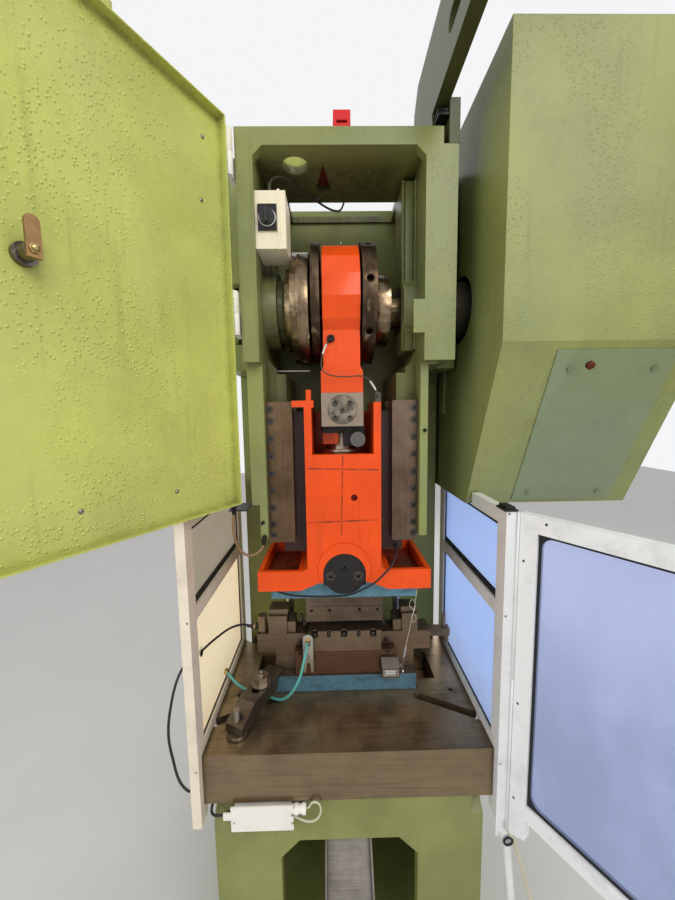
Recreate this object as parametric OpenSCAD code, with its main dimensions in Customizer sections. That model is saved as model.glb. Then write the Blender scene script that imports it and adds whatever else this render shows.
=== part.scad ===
// Open-front eccentric press, about 40 tonnes, built as it stands in the workshop:
// crown door and front guard open, slide at the top of its stroke, a small die set fitted.
// Origin: on the floor, under the axis of the slide. +X right, +Y into the machine, +Z up.

/* [Table] */
// Width of the bolster plate and the bed plate
table_w = 700; // [640:10:760]
// Depth of both plates, from the front edge to the column wall
table_d = 450; // [430:5:480]
// Height of the bolster's top face above the floor
table_h = 860; // [820:10:900]
// Thickness of each of the two plates
plate_t = 63; // [50:1:75]
// Width of the neck of a T-slot
tslot_w = 24; // [18:1:28]
// Angle of the T-slots to the X axis
tslot_angle = 27; // [24:1:32]

/* [Frame] */
// Width over the two side plates of the frame
frame_w = 664; // [640:2:680]
// Thickness of the frame's plates
frame_t = 30; // [20:1:40]
// Distance from the slide axis to the column wall
throat = 180; // [170:5:200]
// Distance from the slide axis to the back of the frame
frame_back = 720; // [680:10:800]
// Height of the crown's top edge above the floor
press_h = 2316; // [2290:2:2340]
// Width of the scrap opening in the base
scrap_w = 340; // [300:10:380]

/* [Crown] */
// Width over the crown's two walls
crown_w = 480; // [470:2:500]
// Thickness of a crown wall
crown_t = 40; // [34:1:46]
// Distance from the slide axis to the crown's front rim
crown_front = 160; // [158:1:175]
// Height of the crown's lower edge above the table
crown_low = 933; // [920:1:950]

/* [Guides] */
// Width of the gap between the two gib plates
gib_gap = 264; // [256:2:270]
// Thickness of a gib plate
gib_t = 30; // [24:1:34]
// Height of the gib plates' lower end above the table
gib_low = 459; // [450:1:470]
// Length of a gib plate
gib_len = 380; // [360:5:385]
// Thickness of the slide's guide wings, front to back
wing_t = 85; // [70:1:95]

/* [Slide] */
// Width of the slide's body
slide_w = 198; // [190:2:204]
// Height of the slide's lower face above the table, at the top of the stroke
slide_low = 332; // [325:1:340]
// Width of the slide's foot
foot_w = 466; // [440:2:480]
// Stroke of the slide as it is set
stroke = 30; // [20:2:36]

/* [Crank] */
// Height of the crankshaft's axis above the table
crank_h = 1090; // [1080:1:1100]
// Radius of the crankshaft's journals
journal_r = 50; // [44:1:54]
// Radius of the eccentric bush in the rod's bore
bush_r = 95; // [90:1:100]
// Radius of the rod's big end over its corners
rod_r = 152; // [144:1:153]
// Width of the rod's big end
rod_w = 94; // [88:2:98]

/* [Drive] */
// Radius of the flywheel
flywheel_r = 235; // [220:1:240]
// Width of the flywheel's rim
flywheel_w = 130; // [110:5:140]
// Radius of the motor's pulley
pulley_r = 60; // [50:1:70]
// Radius of the motor's body
motor_r = 105; // [95:1:115]

/* [Crown door] */
// Width of the door, hinge side to free side
door_w = 500; // [492:1:512]
// Height of the door
door_h = 869; // [860:1:875]
// Depth of the door's folded rim
door_t = 25; // [20:1:28]
// Angle at which the door stands open
door_open = 121; // [90:1:140]

/* [Guards] */
// Height of the guards' top edge above the table
guard_h = 588; // [560:4:620]
// Thickness of the aluminium guard profile
profile_t = 22; // [18:1:26]
// Angle at which the front guard stands open
front_open = 122; // [90:1:140]
// Width of the flywheel guard
cover_w = 445; // [430:5:470]
// Thickness of the flywheel guard's sheet
sheet_t = 3; // [2:0.5:4]

/* [Die set] */
// Width of the die set's two shoes
shoe_w = 414; // [400:2:430]
// Depth of the die set's two shoes
shoe_d = 190; // [180:2:200]
// Thickness of a shoe
shoe_t = 46; // [40:1:50]
// Diameter of a guide pillar
pillar_d = 25; // [20:1:32]

/* [Hidden] */
// Running clearance of round fits, and gap between parts that pass each other
fit = 0.05;
gap = 0.3;

// Heights from the floor
table_under = table_h - 2 * plate_t;
crown_z = table_h + crown_low;
crank_z = table_h + crank_h;
gib_z = table_h + gib_low;
gib_top = gib_z + gib_len;
slide_z = table_h + slide_low;

// Places seen from above
table_front = throat - table_d;
base_front = table_front + 8;
frame_x = frame_w / 2;
crown_x = crown_w / 2;
crown_in = crown_x - crown_t;
crown_y = -crown_front;
shoulder_y = 10;
rim_d = 25;
ceiling_z = press_h - 39;
ceiling_t = 20;
side_plate_t = 35;
strip_y = -125;

// Table: inner ends of the T-slots, and the long opening under the die
slot_end = 230;
slot_x = 273;
slot_y0 = -40;
slot_y1 = 80;

// Guides
gib_x = gib_gap / 2;
gib_y = -100;
wing_y = gib_y + gib_t;
wing_x = crown_in - 35;
screw_inset = 10;
gib_screw_x = crown_in - screw_inset;
end_pitch = 30;
gib_end = 21;
mid_pitch = (gib_len - 2 * gib_end - 2 * end_pitch) / 6;
gib_screw_z = [for (i = [0:8])
    i == 0 ? gib_z + gib_end
    : i == 8 ? gib_z + gib_len - gib_end
    : gib_z + gib_end + end_pitch + (i - 1) * mid_pitch];

// Slide
slide_x = slide_w / 2;
slide_y = -125;
slide_back = 125;
slide_wall = 25;
slide_top = slide_z + 368;
ear_t = 19;
foot_t = 54;
foot_back = 115;
cap_r = 57;
cap_z = slide_z + 46;
boss_r = 70;
boss_z = slide_z + 61;

// Crank and rod
ecc = stroke / 2;
ecc_z = crank_z + ecc;
rod_x = rod_w / 2;
rod_foot_z = crank_z - 231;
block_z = rod_foot_z - 86;
block_x = 54;
block_y = -120;
block_back = 110 - ecc - 10;
spindle_r = 45;
ball_r = 52;
ball_z = slide_z + 290;
bush_wall = 10;
ecc_x = rod_x + 3;
disc_r = 158;
ring_x0 = ecc_x + 2;
ring_x1 = ring_x0 + 36;
quill_r = 75;
quill_x = crown_x + side_plate_t;
quill_len = 190;
fly_x = quill_x + 120;
hub_x = fly_x + flywheel_w + 8;

// Flywheel guard
cover_x = frame_x + 8;
cover_y = table_front + 5;
cover_back = 640;
cover_top = table_h + 1580;
cover_bend = table_h + 954;
cover_low = table_h + 552;
cover_low_y = -77;
motor_y = 440;
motor_z = crank_z - 260;
motor_len = 250;
belt_t = 8;
belt_w = 50;
belt_x = fly_x + (flywheel_w - belt_w) / 2;

// Crown door, drawn closed and then swung open about its hinge
hinge_x = -crown_x - 12;
hinge_y = crown_y - 12;
hinge_r = 11;
door_x = hinge_x + 12;
door_z = table_h + 590;
door_face = crown_y - 2;
lock_x = hinge_x + 389;
lock_z = table_h + 1037;
key_x = hinge_x + 258;
keeper_t = 8;
hinge_z = [door_z + door_h - 116, crown_z + 60];
hinge_h = 50;

// Guards: the right top rail ends in front of the flywheel guard
guard_x = table_w / 2;
guard_low = table_h - 168;
guard_top = table_h + guard_h;
guard_back = throat - 2;
guard_front = table_front + 20;
post_d = 40;
rail_h = 34;
low_rail_z = table_h - 12;
mid_rail_z = table_h + 332;
slope = (cover_low_y - cover_y) / (cover_bend - cover_low);
rail_back = min(guard_back - post_d, cover_low_y - (guard_top - cover_low) * slope - 6);
knuckle_r = 3.5;
pin_r = 2;
front_x = guard_x + profile_t + knuckle_r + 0.5;
front_y = guard_front - post_d - knuckle_r - 0.5;
front_bar = 37;
front_low = table_h - 121;
foot_z = table_h - 190;
knuckle_h = (guard_top - foot_z) / 4;
knuckle_z = [foot_z, foot_z + 2 * knuckle_h];
strut_z = table_h - 208;

// Die set
die_y = -79;
die_back = die_y + shoe_d;
die_mid = (die_y + die_back) / 2;
lower_top = table_h + shoe_t + 2;
block_w = 290;
die_block_top = table_h + 123;
die_plate_w = 210;
die_top = table_h + 166;
punch_low = table_h + 215;
stripper_top = table_h + 183;
channel_h = 4;
punch_w = 220;
punch_x = [-60, -20, 20, 60];
punch_y = die_mid - 30;
pillar_x = shoe_w / 2 - 32;
pillar_y = die_back - 30;
drop_w = 120;
counter_x0 = 103;
counter_x1 = 153;
lever_y = die_y - 15;
lever_z = lower_top + 34;
strap_t = 14;
strap_angle = 64.7;
heel_x = -276;
heel_y = -205;
pad_t = 12;

// A box between two opposite corners
module block(a, b) {
    translate(a) cube(b - a);
}

// A round bar along X, Y or Z, from one coordinate to another
module bar_x(x0, x1, r, y, z) {
    translate([x0, y, z]) rotate([0, 90, 0]) cylinder(r = r, h = x1 - x0, $fn = 64);
}
module bar_y(y0, y1, r, x, z) {
    translate([x, y1, z]) rotate([90, 0, 0]) cylinder(r = r, h = y1 - y0, $fn = 48);
}
module bar_z(z0, z1, r, x, y) {
    translate([x, y, z0]) cylinder(r = r, h = z1 - z0, $fn = 48);
}

// A plate whose outline is drawn in Y and Z, standing across X
module plate_x(x0, t) {
    translate([x0, 0, 0]) rotate([90, 0, 90]) linear_extrude(t) children();
}

// A plate whose outline is drawn in X and Z, standing across Y
module plate_y(y0, t) {
    translate([0, y0 + t, 0]) rotate([90, 0, 0]) linear_extrude(t) children();
}

// The same thing on both sides of the slide axis
module both_sides() {
    children();
    mirror([1, 0, 0]) children();
}

// A socket head screw that points along +Y, its head's face at the front
module socket_screw_y(x, y, z, head_r, head_h, shank_r, shank_len) {
    difference() {
        union() {
            bar_y(y, y + head_h, head_r, x, z);
            if (shank_len > 0) bar_y(y + head_h, y + head_h + shank_len, shank_r, x, z);
        }
        translate([x, y + head_h * 0.6, z]) rotate([90, 0, 0])
            cylinder(r = head_r * 0.58, h = head_h, $fn = 6);
    }
}

// A socket head screw that points down, its head's face on top
module socket_screw_z(x, y, z, head_r, head_h) {
    difference() {
        bar_z(z, z + head_h, head_r, x, y);
        translate([x, y, z + head_h * 0.4]) cylinder(r = head_r * 0.58, h = head_h, $fn = 6);
    }
}

// Welded frame: two side plates, floor plate, base front, column wall, head
module frame_side(x0) {
    corner = 60;
    plate_x(x0, frame_t) difference() {
        polygon([
            [base_front, 0], [frame_back, 0], [frame_back, press_h - corner],
            [frame_back - corner, press_h], [shoulder_y, press_h], [shoulder_y, crown_z],
            [throat, crown_z], [throat, table_under], [base_front + corner, table_under],
            [base_front, table_under - corner]
        ]);
        translate([0, crank_z]) circle(r = quill_r + 10, $fn = 64);
        if (x0 > 0) translate([motor_y, motor_z]) circle(r = 45, $fn = 64);
    }
}
module frame() {
    inner = frame_x - frame_t;
    chamfer_w = 47;
    scrap_top = table_under - 119;
    foot_x = frame_x + 50;
    foot_t = 40;
    foot_len = 110;
    rear_open_z = 520;
    shelf_z = motor_z - motor_r - 12;
    color("olivedrab") union() {
        frame_side(-frame_x);
        frame_side(inner);
        block([-inner, base_front, 0], [inner, frame_back, frame_t]);
        // Base front with the scrap opening, its top corners cut off
        plate_y(base_front, frame_t) difference() {
            translate([-inner, frame_t]) square([2 * inner, table_under - frame_t]);
            polygon([
                [-scrap_w / 2, 100], [scrap_w / 2, 100], [scrap_w / 2, scrap_top - chamfer_w],
                [scrap_w / 2 - chamfer_w, scrap_top], [-scrap_w / 2 + chamfer_w, scrap_top],
                [-scrap_w / 2, scrap_top - chamfer_w]
            ]);
        }
        // Column wall behind the throat, and the bed rails under the table
        block([-inner, throat, frame_t], [inner, throat + 25, press_h - 25]);
        both_sides() block([drop_w / 2 + 60, base_front + frame_t, table_under - 40],
                           [inner, throat, table_under]);
        // Head: top plate and the shoulders beside the crown
        block([-inner, throat, press_h - 25], [inner, frame_back - 60, press_h]);
        block([-inner, shoulder_y, press_h - 25], [-crown_x, throat, press_h]);
        block([crown_x + side_plate_t, shoulder_y, press_h - 25], [inner, throat, press_h]);
        block([-inner, shoulder_y, crown_z], [-crown_x, throat, crown_z + 20]);
        block([crown_x + side_plate_t, shoulder_y, crown_z], [inner, throat, crown_z + 20]);
        difference() {
            union() {
                block([-inner, shoulder_y, crown_z + 20], [-crown_x, shoulder_y + 20, press_h - 25]);
                block([crown_x + side_plate_t, shoulder_y, crown_z + 20],
                      [inner, shoulder_y + 20, press_h - 25]);
            }
            bar_x(-inner - 1, inner + 1, quill_r + 10, 0, crank_z);
        }
        // Rear cross plates, open between them
        block([-inner, frame_back - 25, frame_t], [inner, frame_back, rear_open_z]);
        block([-inner, frame_back - 25, table_h + 250], [inner, frame_back, table_h + 420]);
        // Shelf of the motor
        block([-inner, throat + 25, shelf_z - 20], [inner, frame_back - 40, shelf_z]);
        // Foot flanges for the floor bolts
        both_sides() difference() {
            union() {
                block([frame_x, base_front, 0], [foot_x, base_front + foot_len, foot_t]);
                block([frame_x, frame_back - foot_len, 0], [foot_x, frame_back, foot_t]);
            }
            bar_z(-1, foot_t + 1, 14, frame_x + 27, base_front + foot_len / 2);
            bar_z(-1, foot_t + 1, 14, frame_x + 27, frame_back - foot_len / 2);
        }
    }
}

// Crown housing: walls, ceiling, front rim and the two guide strips below it
module crown_housing() {
    strip_t = crown_t / 2;
    outer_low = table_h + 570;
    inner_low = table_h + 480;
    corner = 22;
    web = 50;
    web_top = crown_z + 40;
    keeper_x0 = lock_x + 36;
    keeper_z = 39;
    window_x0 = -142;
    window_x1 = 172;
    color("darkolivegreen") difference() {
        union() {
            both_sides() block([crown_in, crown_y, crown_z], [crown_x, throat, ceiling_z]);
            both_sides() block([crown_in, strip_y, inner_low], [crown_in + strip_t, throat, crown_z]);
            block([-crown_x, strip_y, outer_low], [-crown_x + strip_t, throat, crown_z]);
            block([crown_x, crown_y, crown_z], [crown_x + side_plate_t, throat, press_h - 37]);
            block([-crown_x, crown_y, ceiling_z], [crown_x, throat, ceiling_z + ceiling_t]);
            block([-crown_x, crown_y, ceiling_z + ceiling_t], [crown_x, crown_y + rim_d, press_h]);
            // Corners of the front opening
            plate_y(crown_y, rim_d) both_sides() polygon([
                [crown_in, ceiling_z], [crown_in - corner, ceiling_z], [crown_in, ceiling_z - corner]
            ]);
            // Curved webs over the guide blocks
            both_sides() difference() {
                block([crown_in - web, -60, gib_top], [crown_in, throat, web_top]);
                bar_y(-61, throat + 1, web, crown_in - web, web_top);
                block([crown_in - web - 1, -61, gib_top + 75],
                      [crown_in - web + 25, throat + 1, web_top + 1]);
            }
            // Bearing bosses inside both walls
            bar_x(-crown_in, -crown_in + 35, 100, 0, crank_z);
            bar_x(-crown_in + 35, -crown_in + 56, 82, 0, crank_z);
            bar_x(crown_in - 35, crown_in, 85, 0, crank_z);
            // Keeper pad for the door's catch
            block([keeper_x0, crown_y, lock_z - keeper_z], [crown_in, crown_y + keeper_t, lock_z + keeper_z]);
        }
        bar_x(-crown_x - 1, crown_x + side_plate_t + 1, journal_r + 15, 0, crank_z);
        // Openings in the ceiling
        bar_z(ceiling_z - 1, ceiling_z + ceiling_t + 1, 32, -108, -90);
        translate([-40, 0, ceiling_z - 1]) linear_extrude(ceiling_t + 2) {
            circle(r = 20, $fn = 48);
            polygon([[-19, -5], [19, -5], [0, -93]]);
        }
        block([window_x0, 65, ceiling_z - 1], [window_x1, throat - 9, ceiling_z + ceiling_t + 1]);
    }
}

// One T-slot, running outwards from the middle of the table
module tslot(angle) {
    head_w = 40;
    head_h = 18;
    neck_h = 20;
    rotate([0, 0, angle]) {
        translate([slot_end, -tslot_w / 2, table_h - neck_h]) cube([table_w, tslot_w, neck_h + 1]);
        bar_z(table_h - neck_h, table_h + 1, tslot_w / 2, slot_end, 0);
        translate([slot_end, -head_w / 2, table_h - neck_h - head_h]) cube([table_w, head_w, head_h + 0.01]);
    }
}
module bolster() {
    hole_x = table_w / 2 - 44.4;
    hole_y = table_front + 182.5;
    color("dimgray") difference() {
        block([-table_w / 2, table_front, table_h - plate_t], [table_w / 2, throat, table_h]);
        for (a = [-tslot_angle, 180 + tslot_angle, tslot_angle, 180 - tslot_angle]) tslot(a);
        block([-slot_x, slot_y0, table_h - plate_t - 1], [slot_x, slot_y1, table_h + 1]);
        for (x = [-hole_x, hole_x]) bar_z(table_h - 30, table_h + 1, 7, x, hole_y);
    }
}
module bed_plate() {
    color("gray") difference() {
        block([-table_w / 2, table_front, table_under], [table_w / 2, throat, table_h - plate_t]);
        block([-drop_w / 2, die_mid - 50, table_under - 1], [drop_w / 2, die_mid + 50, table_h]);
    }
}

// Sheet chute from the drop hole down to the scrap opening
module scrap_chute() {
    side = 65;
    top_y = die_mid + 60;
    lip = 40;
    top_z = table_under - lip;
    low_z = 330;
    t = 4;
    out_y = base_front - 2;
    color("slategray") {
        for (x = [-side, side - t]) plate_x(x, t) polygon([
            [top_y, top_z], [top_y, top_z + lip], [out_y, low_z + lip], [out_y, low_z]
        ]);
        plate_x(-side + t, 2 * (side - t)) polygon([
            [top_y, top_z], [top_y, top_z + t], [out_y, low_z + t], [out_y, low_z]
        ]);
    }
}

// Steel blocks behind the gib plates, which the slide's wings run in
module guide_blocks() {
    color("saddlebrown") both_sides() difference() {
        union() {
            block([wing_x + fit, wing_y, gib_z], [crown_in, wing_y + wing_t + 2 * fit, gib_top]);
            block([gib_x, wing_y + wing_t + 2 * fit, gib_z], [crown_in, throat, gib_top]);
        }
        for (z = gib_screw_z) bar_y(wing_y - 1, wing_y + 31, 8.1, gib_screw_x, z);
    }
}
module gib() {
    edge = 3;
    difference() {
        plate_y(gib_y, gib_t) polygon([
            [gib_x + edge, gib_z], [crown_in, gib_z], [crown_in, gib_top], [gib_x + edge, gib_top],
            [gib_x, gib_top - edge], [gib_x, gib_z + edge]
        ]);
        for (z = gib_screw_z) {
            bar_y(gib_y - 1, gib_y + 13, 9.6, gib_screw_x, z);
            bar_y(gib_y, gib_y + gib_t + 1, 8.1, gib_screw_x, z);
        }
    }
}
module gib_left() {
    color("rosybrown") mirror([1, 0, 0]) gib();
}
module gib_right() {
    color("rosybrown") gib();
}
module gib_screws() {
    color("black") both_sides() for (z = gib_screw_z)
        socket_screw_y(gib_screw_x, gib_y + 1, z, 9, 12, 8, gib_t + 15);
}

// Main bearing in the left wall, and the quill in the right wall that carries the flywheel
module left_bearing() {
    color("goldenrod") difference() {
        bar_x(-crown_x, -crown_in + 35, journal_r + 15, 0, crank_z);
        bar_x(-crown_x - 1, -crown_in + 36, journal_r + fit, 0, crank_z);
    }
}
module right_quill() {
    color("gray") difference() {
        union() {
            bar_x(crown_in - 35, quill_x, journal_r + 15, 0, crank_z);
            bar_x(quill_x, quill_x + 18, quill_r + 8, 0, crank_z);
            bar_x(quill_x + 18, quill_x + quill_len, quill_r, 0, crank_z);
        }
        bar_x(crown_in - 36, quill_x + quill_len + 1, journal_r + fit, 0, crank_z);
    }
}
module shaft_cover() {
    color("darkolivegreen") difference() {
        bar_x(-crown_x - 24, -crown_x, 80, 0, crank_z);
        bar_x(-crown_x - 16, -crown_x + 1, journal_r + 8, 0, crank_z);
    }
}

// Crankshaft with its eccentric, and what is keyed on it
module crankshaft() {
    color("silver") {
        bar_x(-crown_x - 10, hub_x + 130, journal_r, 0, crank_z);
        bar_x(-ecc_x, ecc_x, bush_r - 20, 0, crank_z + ecc / 2);
        bar_x(ring_x1 + 7, ring_x1 + 43, 95, 0, crank_z);
    }
}
module setting_drum() {
    color("lightgray") difference() {
        union() {
            bar_x(-112, -81, 146, 0, crank_z);
            bar_x(-127, -112, 140, 0, crank_z);
            bar_x(-143, -127, 110, 0, crank_z);
        }
        bar_x(-144, -80, journal_r, 0, crank_z);
    }
}
module eccentric_bush() {
    flange_x0 = -75;
    flange_x1 = -53;
    color("dimgray") difference() {
        union() {
            bar_x(flange_x0, flange_x1, disc_r, 0, ecc_z);
            bar_x(flange_x1, ecc_x, bush_r - bush_wall, 0, ecc_z);
        }
        bar_x(flange_x0 - 1, -ecc_x, journal_r, 0, crank_z);
        bar_x(-ecc_x, ecc_x + 1, bush_r - 20, 0, crank_z + ecc / 2);
    }
}
module clamp_ring() {
    socket_depth = 22;
    color("dimgray") difference() {
        bar_x(ring_x0, ring_x1, disc_r, 0, ecc_z);
        bar_x(ring_x0 - 1, ring_x1 + 1, journal_r, 0, crank_z);
        translate([(ring_x0 + ring_x1) / 2, 0, ecc_z]) for (a = [0:45:315])
            rotate([a + 37, 0, 0]) translate([0, 0, disc_r - socket_depth]) cylinder(r = 9, h = 30, $fn = 32);
    }
}
module clutch_hub() {
    r = 170;
    color("darkslategray") difference() {
        union() {
            bar_x(hub_x, hub_x + 45, r, 0, crank_z);
            bar_x(hub_x + 45, hub_x + 85, r - 50, 0, crank_z);
            bar_x(hub_x + 85, hub_x + 120, 70, 0, crank_z);
        }
        bar_x(hub_x - 1, hub_x + 121, journal_r, 0, crank_z);
        for (a = [0:45:315]) rotate_about_crank(a)
            bar_x(hub_x + 30, hub_x + 46, 11, 0, crank_z + r - 25);
    }
}
module rotate_about_crank(a) {
    translate([0, 0, crank_z]) rotate([a, 0, 0]) translate([0, 0, -crank_z]) children();
}

// Flywheel with a thick rim, a thin web with holes, and its hub on the quill
module flywheel() {
    rim = 60;
    web = 34;
    mid = fly_x + flywheel_w / 2;
    color("darkgray") difference() {
        bar_x(fly_x, fly_x + flywheel_w, flywheel_r, 0, crank_z);
        for (s = [[fly_x - 1, mid - web / 2], [mid + web / 2, fly_x + flywheel_w + 1]]) difference() {
            bar_x(s[0], s[1], flywheel_r - rim, 0, crank_z);
            bar_x(s[0], s[1], quill_r + 28, 0, crank_z);
        }
        bar_x(fly_x - 1, fly_x + flywheel_w + 1, quill_r + fit, 0, crank_z);
        for (a = [30:60:330]) rotate_about_crank(a)
            bar_x(mid - web, mid + web, 24, 0, crank_z + (flywheel_r - rim + quill_r + 28) / 2);
    }
}

// Rod: big end with twenty-degree flats, straight shank, wider foot
module rod() {
    flats = 18;
    first = 5.5;
    lip_z = rod_foot_z + 66;
    bore = bush_r;
    color("orangered") difference() {
        union() {
            plate_x(-rod_x, rod_w) {
                translate([0, ecc_z]) polygon([for (i = [0:flats - 1])
                    rod_r * [cos(first + i * 360 / flats), sin(first + i * 360 / flats)]]);
                translate([block_y, rod_foot_z]) square([block_back - block_y, ecc_z - rod_foot_z]);
            }
            plate_y(block_y, block_back - block_y) polygon([
                [-block_x, rod_foot_z], [block_x, rod_foot_z], [block_x, lip_z - 12], [rod_x, lip_z],
                [-rod_x, lip_z], [-block_x, lip_z - 12]
            ]);
        }
        bar_x(-rod_x - 1, rod_x + 1, bore, 0, ecc_z);
    }
}
module rod_bush() {
    color("peru") difference() {
        bar_x(-rod_x, rod_x, bush_r, 0, ecc_z);
        bar_x(-rod_x - 1, rod_x + 1, bush_r - bush_wall + fit, 0, ecc_z);
    }
}

// Steel block under the rod, its round cover, the ball-ended spindle and the height adjuster
module clamp_block() {
    color("silver") difference() {
        block([-block_x, block_y, block_z], [block_x, block_back, rod_foot_z]);
        bar_y(block_y - 1, block_y + 8, 38, 0, (block_z + rod_foot_z) / 2);
    }
}
module block_cover() {
    mid = (block_z + rod_foot_z) / 2;
    offset_r = 19;
    color("gainsboro") {
        difference() {
            bar_y(block_y - 3, block_y + 8, 37, 0, mid);
            for (x = [-offset_r, offset_r], z = [-offset_r, offset_r])
                bar_y(block_y - 4, block_y + 3, 8.2, x, mid + z);
        }
        for (x = [-offset_r, offset_r], z = [-offset_r, offset_r])
            socket_screw_y(x, block_y - 5, mid + z, 8.2, 8, 0, 0);
        socket_screw_y(0, block_y - 10, mid, 7, 7, 0, 0);
    }
}
module ball_spindle() {
    wheel_z = slide_top - 6;
    color("gray") {
        bar_z(ball_z, block_z, spindle_r, 0, 0);
        bar_z(wheel_z, wheel_z + 12, 64, 0, 0);
        translate([0, 0, ball_z]) sphere(r = ball_r, $fn = 64);
    }
}
module adjuster_collar() {
    z = block_z - 36;
    front = -spindle_r - 26;
    ring_t = 16;
    color("black") {
        difference() {
            bar_z(block_z - ring_t, block_z, spindle_r + 14, 0, 0);
            bar_z(block_z - ring_t - 1, block_z + 1, spindle_r + fit, 0, 0);
        }
        block([-53, front, z - 14], [-10, -spindle_r - 1, block_z - ring_t]);
        block([-53, front, block_z - ring_t], [62, -spindle_r - 1, block_z]);
        block([4, front, z - 20], [62, -spindle_r - 1, block_z - ring_t]);
    }
}
module adjuster_knob() {
    z = block_z - 36;
    x = 41;
    back = -spindle_r - 26 - gap;
    face = back - 24;
    color("dimgray") difference() {
        bar_y(face, back, 20, x, z);
        for (r = [7, 13]) difference() {
            bar_y(face - 1, face + 1, r + 1, x, z);
            bar_y(face - 2, face + 2, r, x, z);
        }
    }
}

// Slide: hollow body with guide wings, two ears, and the foot with its two trays
module slide() {
    pocket_x = slide_x - ear_t;
    pocket_y = slide_y + slide_wall;
    pocket_back = slide_back - 15;
    pocket_z = slide_z + 215;
    ear_d = 160;
    left_ear = slide_z + 535;
    right_ear = slide_z + 502;
    wing_low = slide_z + 90;
    wing_high = slide_z + 480;
    rise_x0 = 118;
    rise_x1 = boss_r;
    rise = 20;
    shoulder_x = 112;
    shoulder_z = slide_z + 78;
    tray_x0 = 124;
    tray_x1 = foot_w / 2 - 12;
    tray_z = slide_z + 20;
    color("orangered") difference() {
        union() {
            block([-slide_x, slide_y, slide_z + foot_t], [slide_x, slide_back, slide_top]);
            both_sides() block([slide_x, wing_y + fit, wing_low], [wing_x, wing_y + wing_t + fit, wing_high]);
            // Ears, and the small cross bar on the left one
            block([-slide_x, slide_y, slide_top], [-pocket_x, slide_y + ear_d, left_ear - 27]);
            block([-slide_x + 6, slide_y, left_ear - 27], [-pocket_x, slide_y + 20, left_ear]);
            block([pocket_x, slide_y, slide_top], [slide_x, slide_y + ear_d, right_ear]);
            block([-slide_x - 31, slide_y, left_ear - 45], [-pocket_x + 6, slide_y + 20, left_ear - 27]);
            // Back wall of the pocket
            block([-slide_x, pocket_back, slide_top], [slide_x, slide_back, wing_high]);
            both_sides() block([pocket_x, wing_y + fit, slide_top], [slide_x, slide_back, wing_high]);
            // Foot
            plate_y(slide_y, foot_back - slide_y) polygon([
                [-foot_w / 2, slide_z], [-rise_x0, slide_z], [-rise_x1, slide_z + rise],
                [rise_x1, slide_z + rise], [rise_x0, slide_z], [foot_w / 2, slide_z],
                [foot_w / 2, slide_z + foot_t], [shoulder_x, slide_z + foot_t],
                [rise_x1, shoulder_z], [-rise_x1, shoulder_z],
                [-shoulder_x, slide_z + foot_t], [-foot_w / 2, slide_z + foot_t]
            ]);
            block([-rise_x0, slide_y + 70, slide_z], [rise_x0, foot_back, slide_z + rise + 1]);
            // Arched boss round the cap
            plate_y(slide_y - 5, 6) intersection() {
                translate([0, boss_z]) circle(r = boss_r, $fn = 64);
                translate([-boss_r, slide_z + rise]) square([2 * boss_r, 3 * boss_r]);
            }
        }
        // Pocket for the spindle, open at the top
        block([-pocket_x, pocket_y, pocket_z], [pocket_x, pocket_back, wing_high + 100]);
        // Trays in the foot
        both_sides() block([tray_x0, slide_y + 12, tray_z], [tray_x1, foot_back - 12, slide_z + foot_t + 1]);
        // Seat of the cap, and the shank hole behind it
        plate_y(slide_y - 6, 46) union() {
            translate([0, cap_z]) circle(r = cap_r + gap, $fn = 64);
            translate([-cap_r - gap, slide_z - 1]) square([2 * (cap_r + gap), cap_z - slide_z + 1]);
        }
        bar_z(slide_z - 1, slide_z + 90, 25, 0, 0);
        // Tapped hole in the front wall
        bar_y(slide_y - 1, slide_y + 20, 9, 28, slide_z + 253);
    }
}
module shank_cap() {
    color("dimgray") difference() {
        plate_y(slide_y - 2, 42) union() {
            translate([0, cap_z]) circle(r = cap_r, $fn = 64);
            translate([-cap_r, slide_z + 14]) square([2 * cap_r, cap_z - slide_z - 14]);
        }
        for (x = [-37, 37]) bar_y(slide_y - 3, slide_y + 12, 13, x, slide_z + 40);
        bar_y(slide_y - 3, slide_y + 20, 8, 0, slide_z + 62);
    }
}
module slide_screws() {
    color("black") {
        for (x = [-37, 37]) socket_screw_y(x, slide_y - 2, slide_z + 40, 12.5, 14, 0, 0);
        socket_screw_y(0, slide_y + 4, slide_z + 62, 7.8, 16, 0, 0);
        for (x = [-foot_w / 2 + 40, foot_w / 2 - 40]) socket_screw_z(x, slide_y + 40, slide_z + 20, 12, 14);
    }
}
module ball_seat() {
    pocket_z = slide_z + 215;
    seat_r = 75;
    color("peru") difference() {
        bar_z(pocket_z, ball_z - 8, seat_r, 0, 5);
        bar_z(pocket_z + 18, ball_z, ball_r + 14, 0, 5);
    }
}

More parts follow.
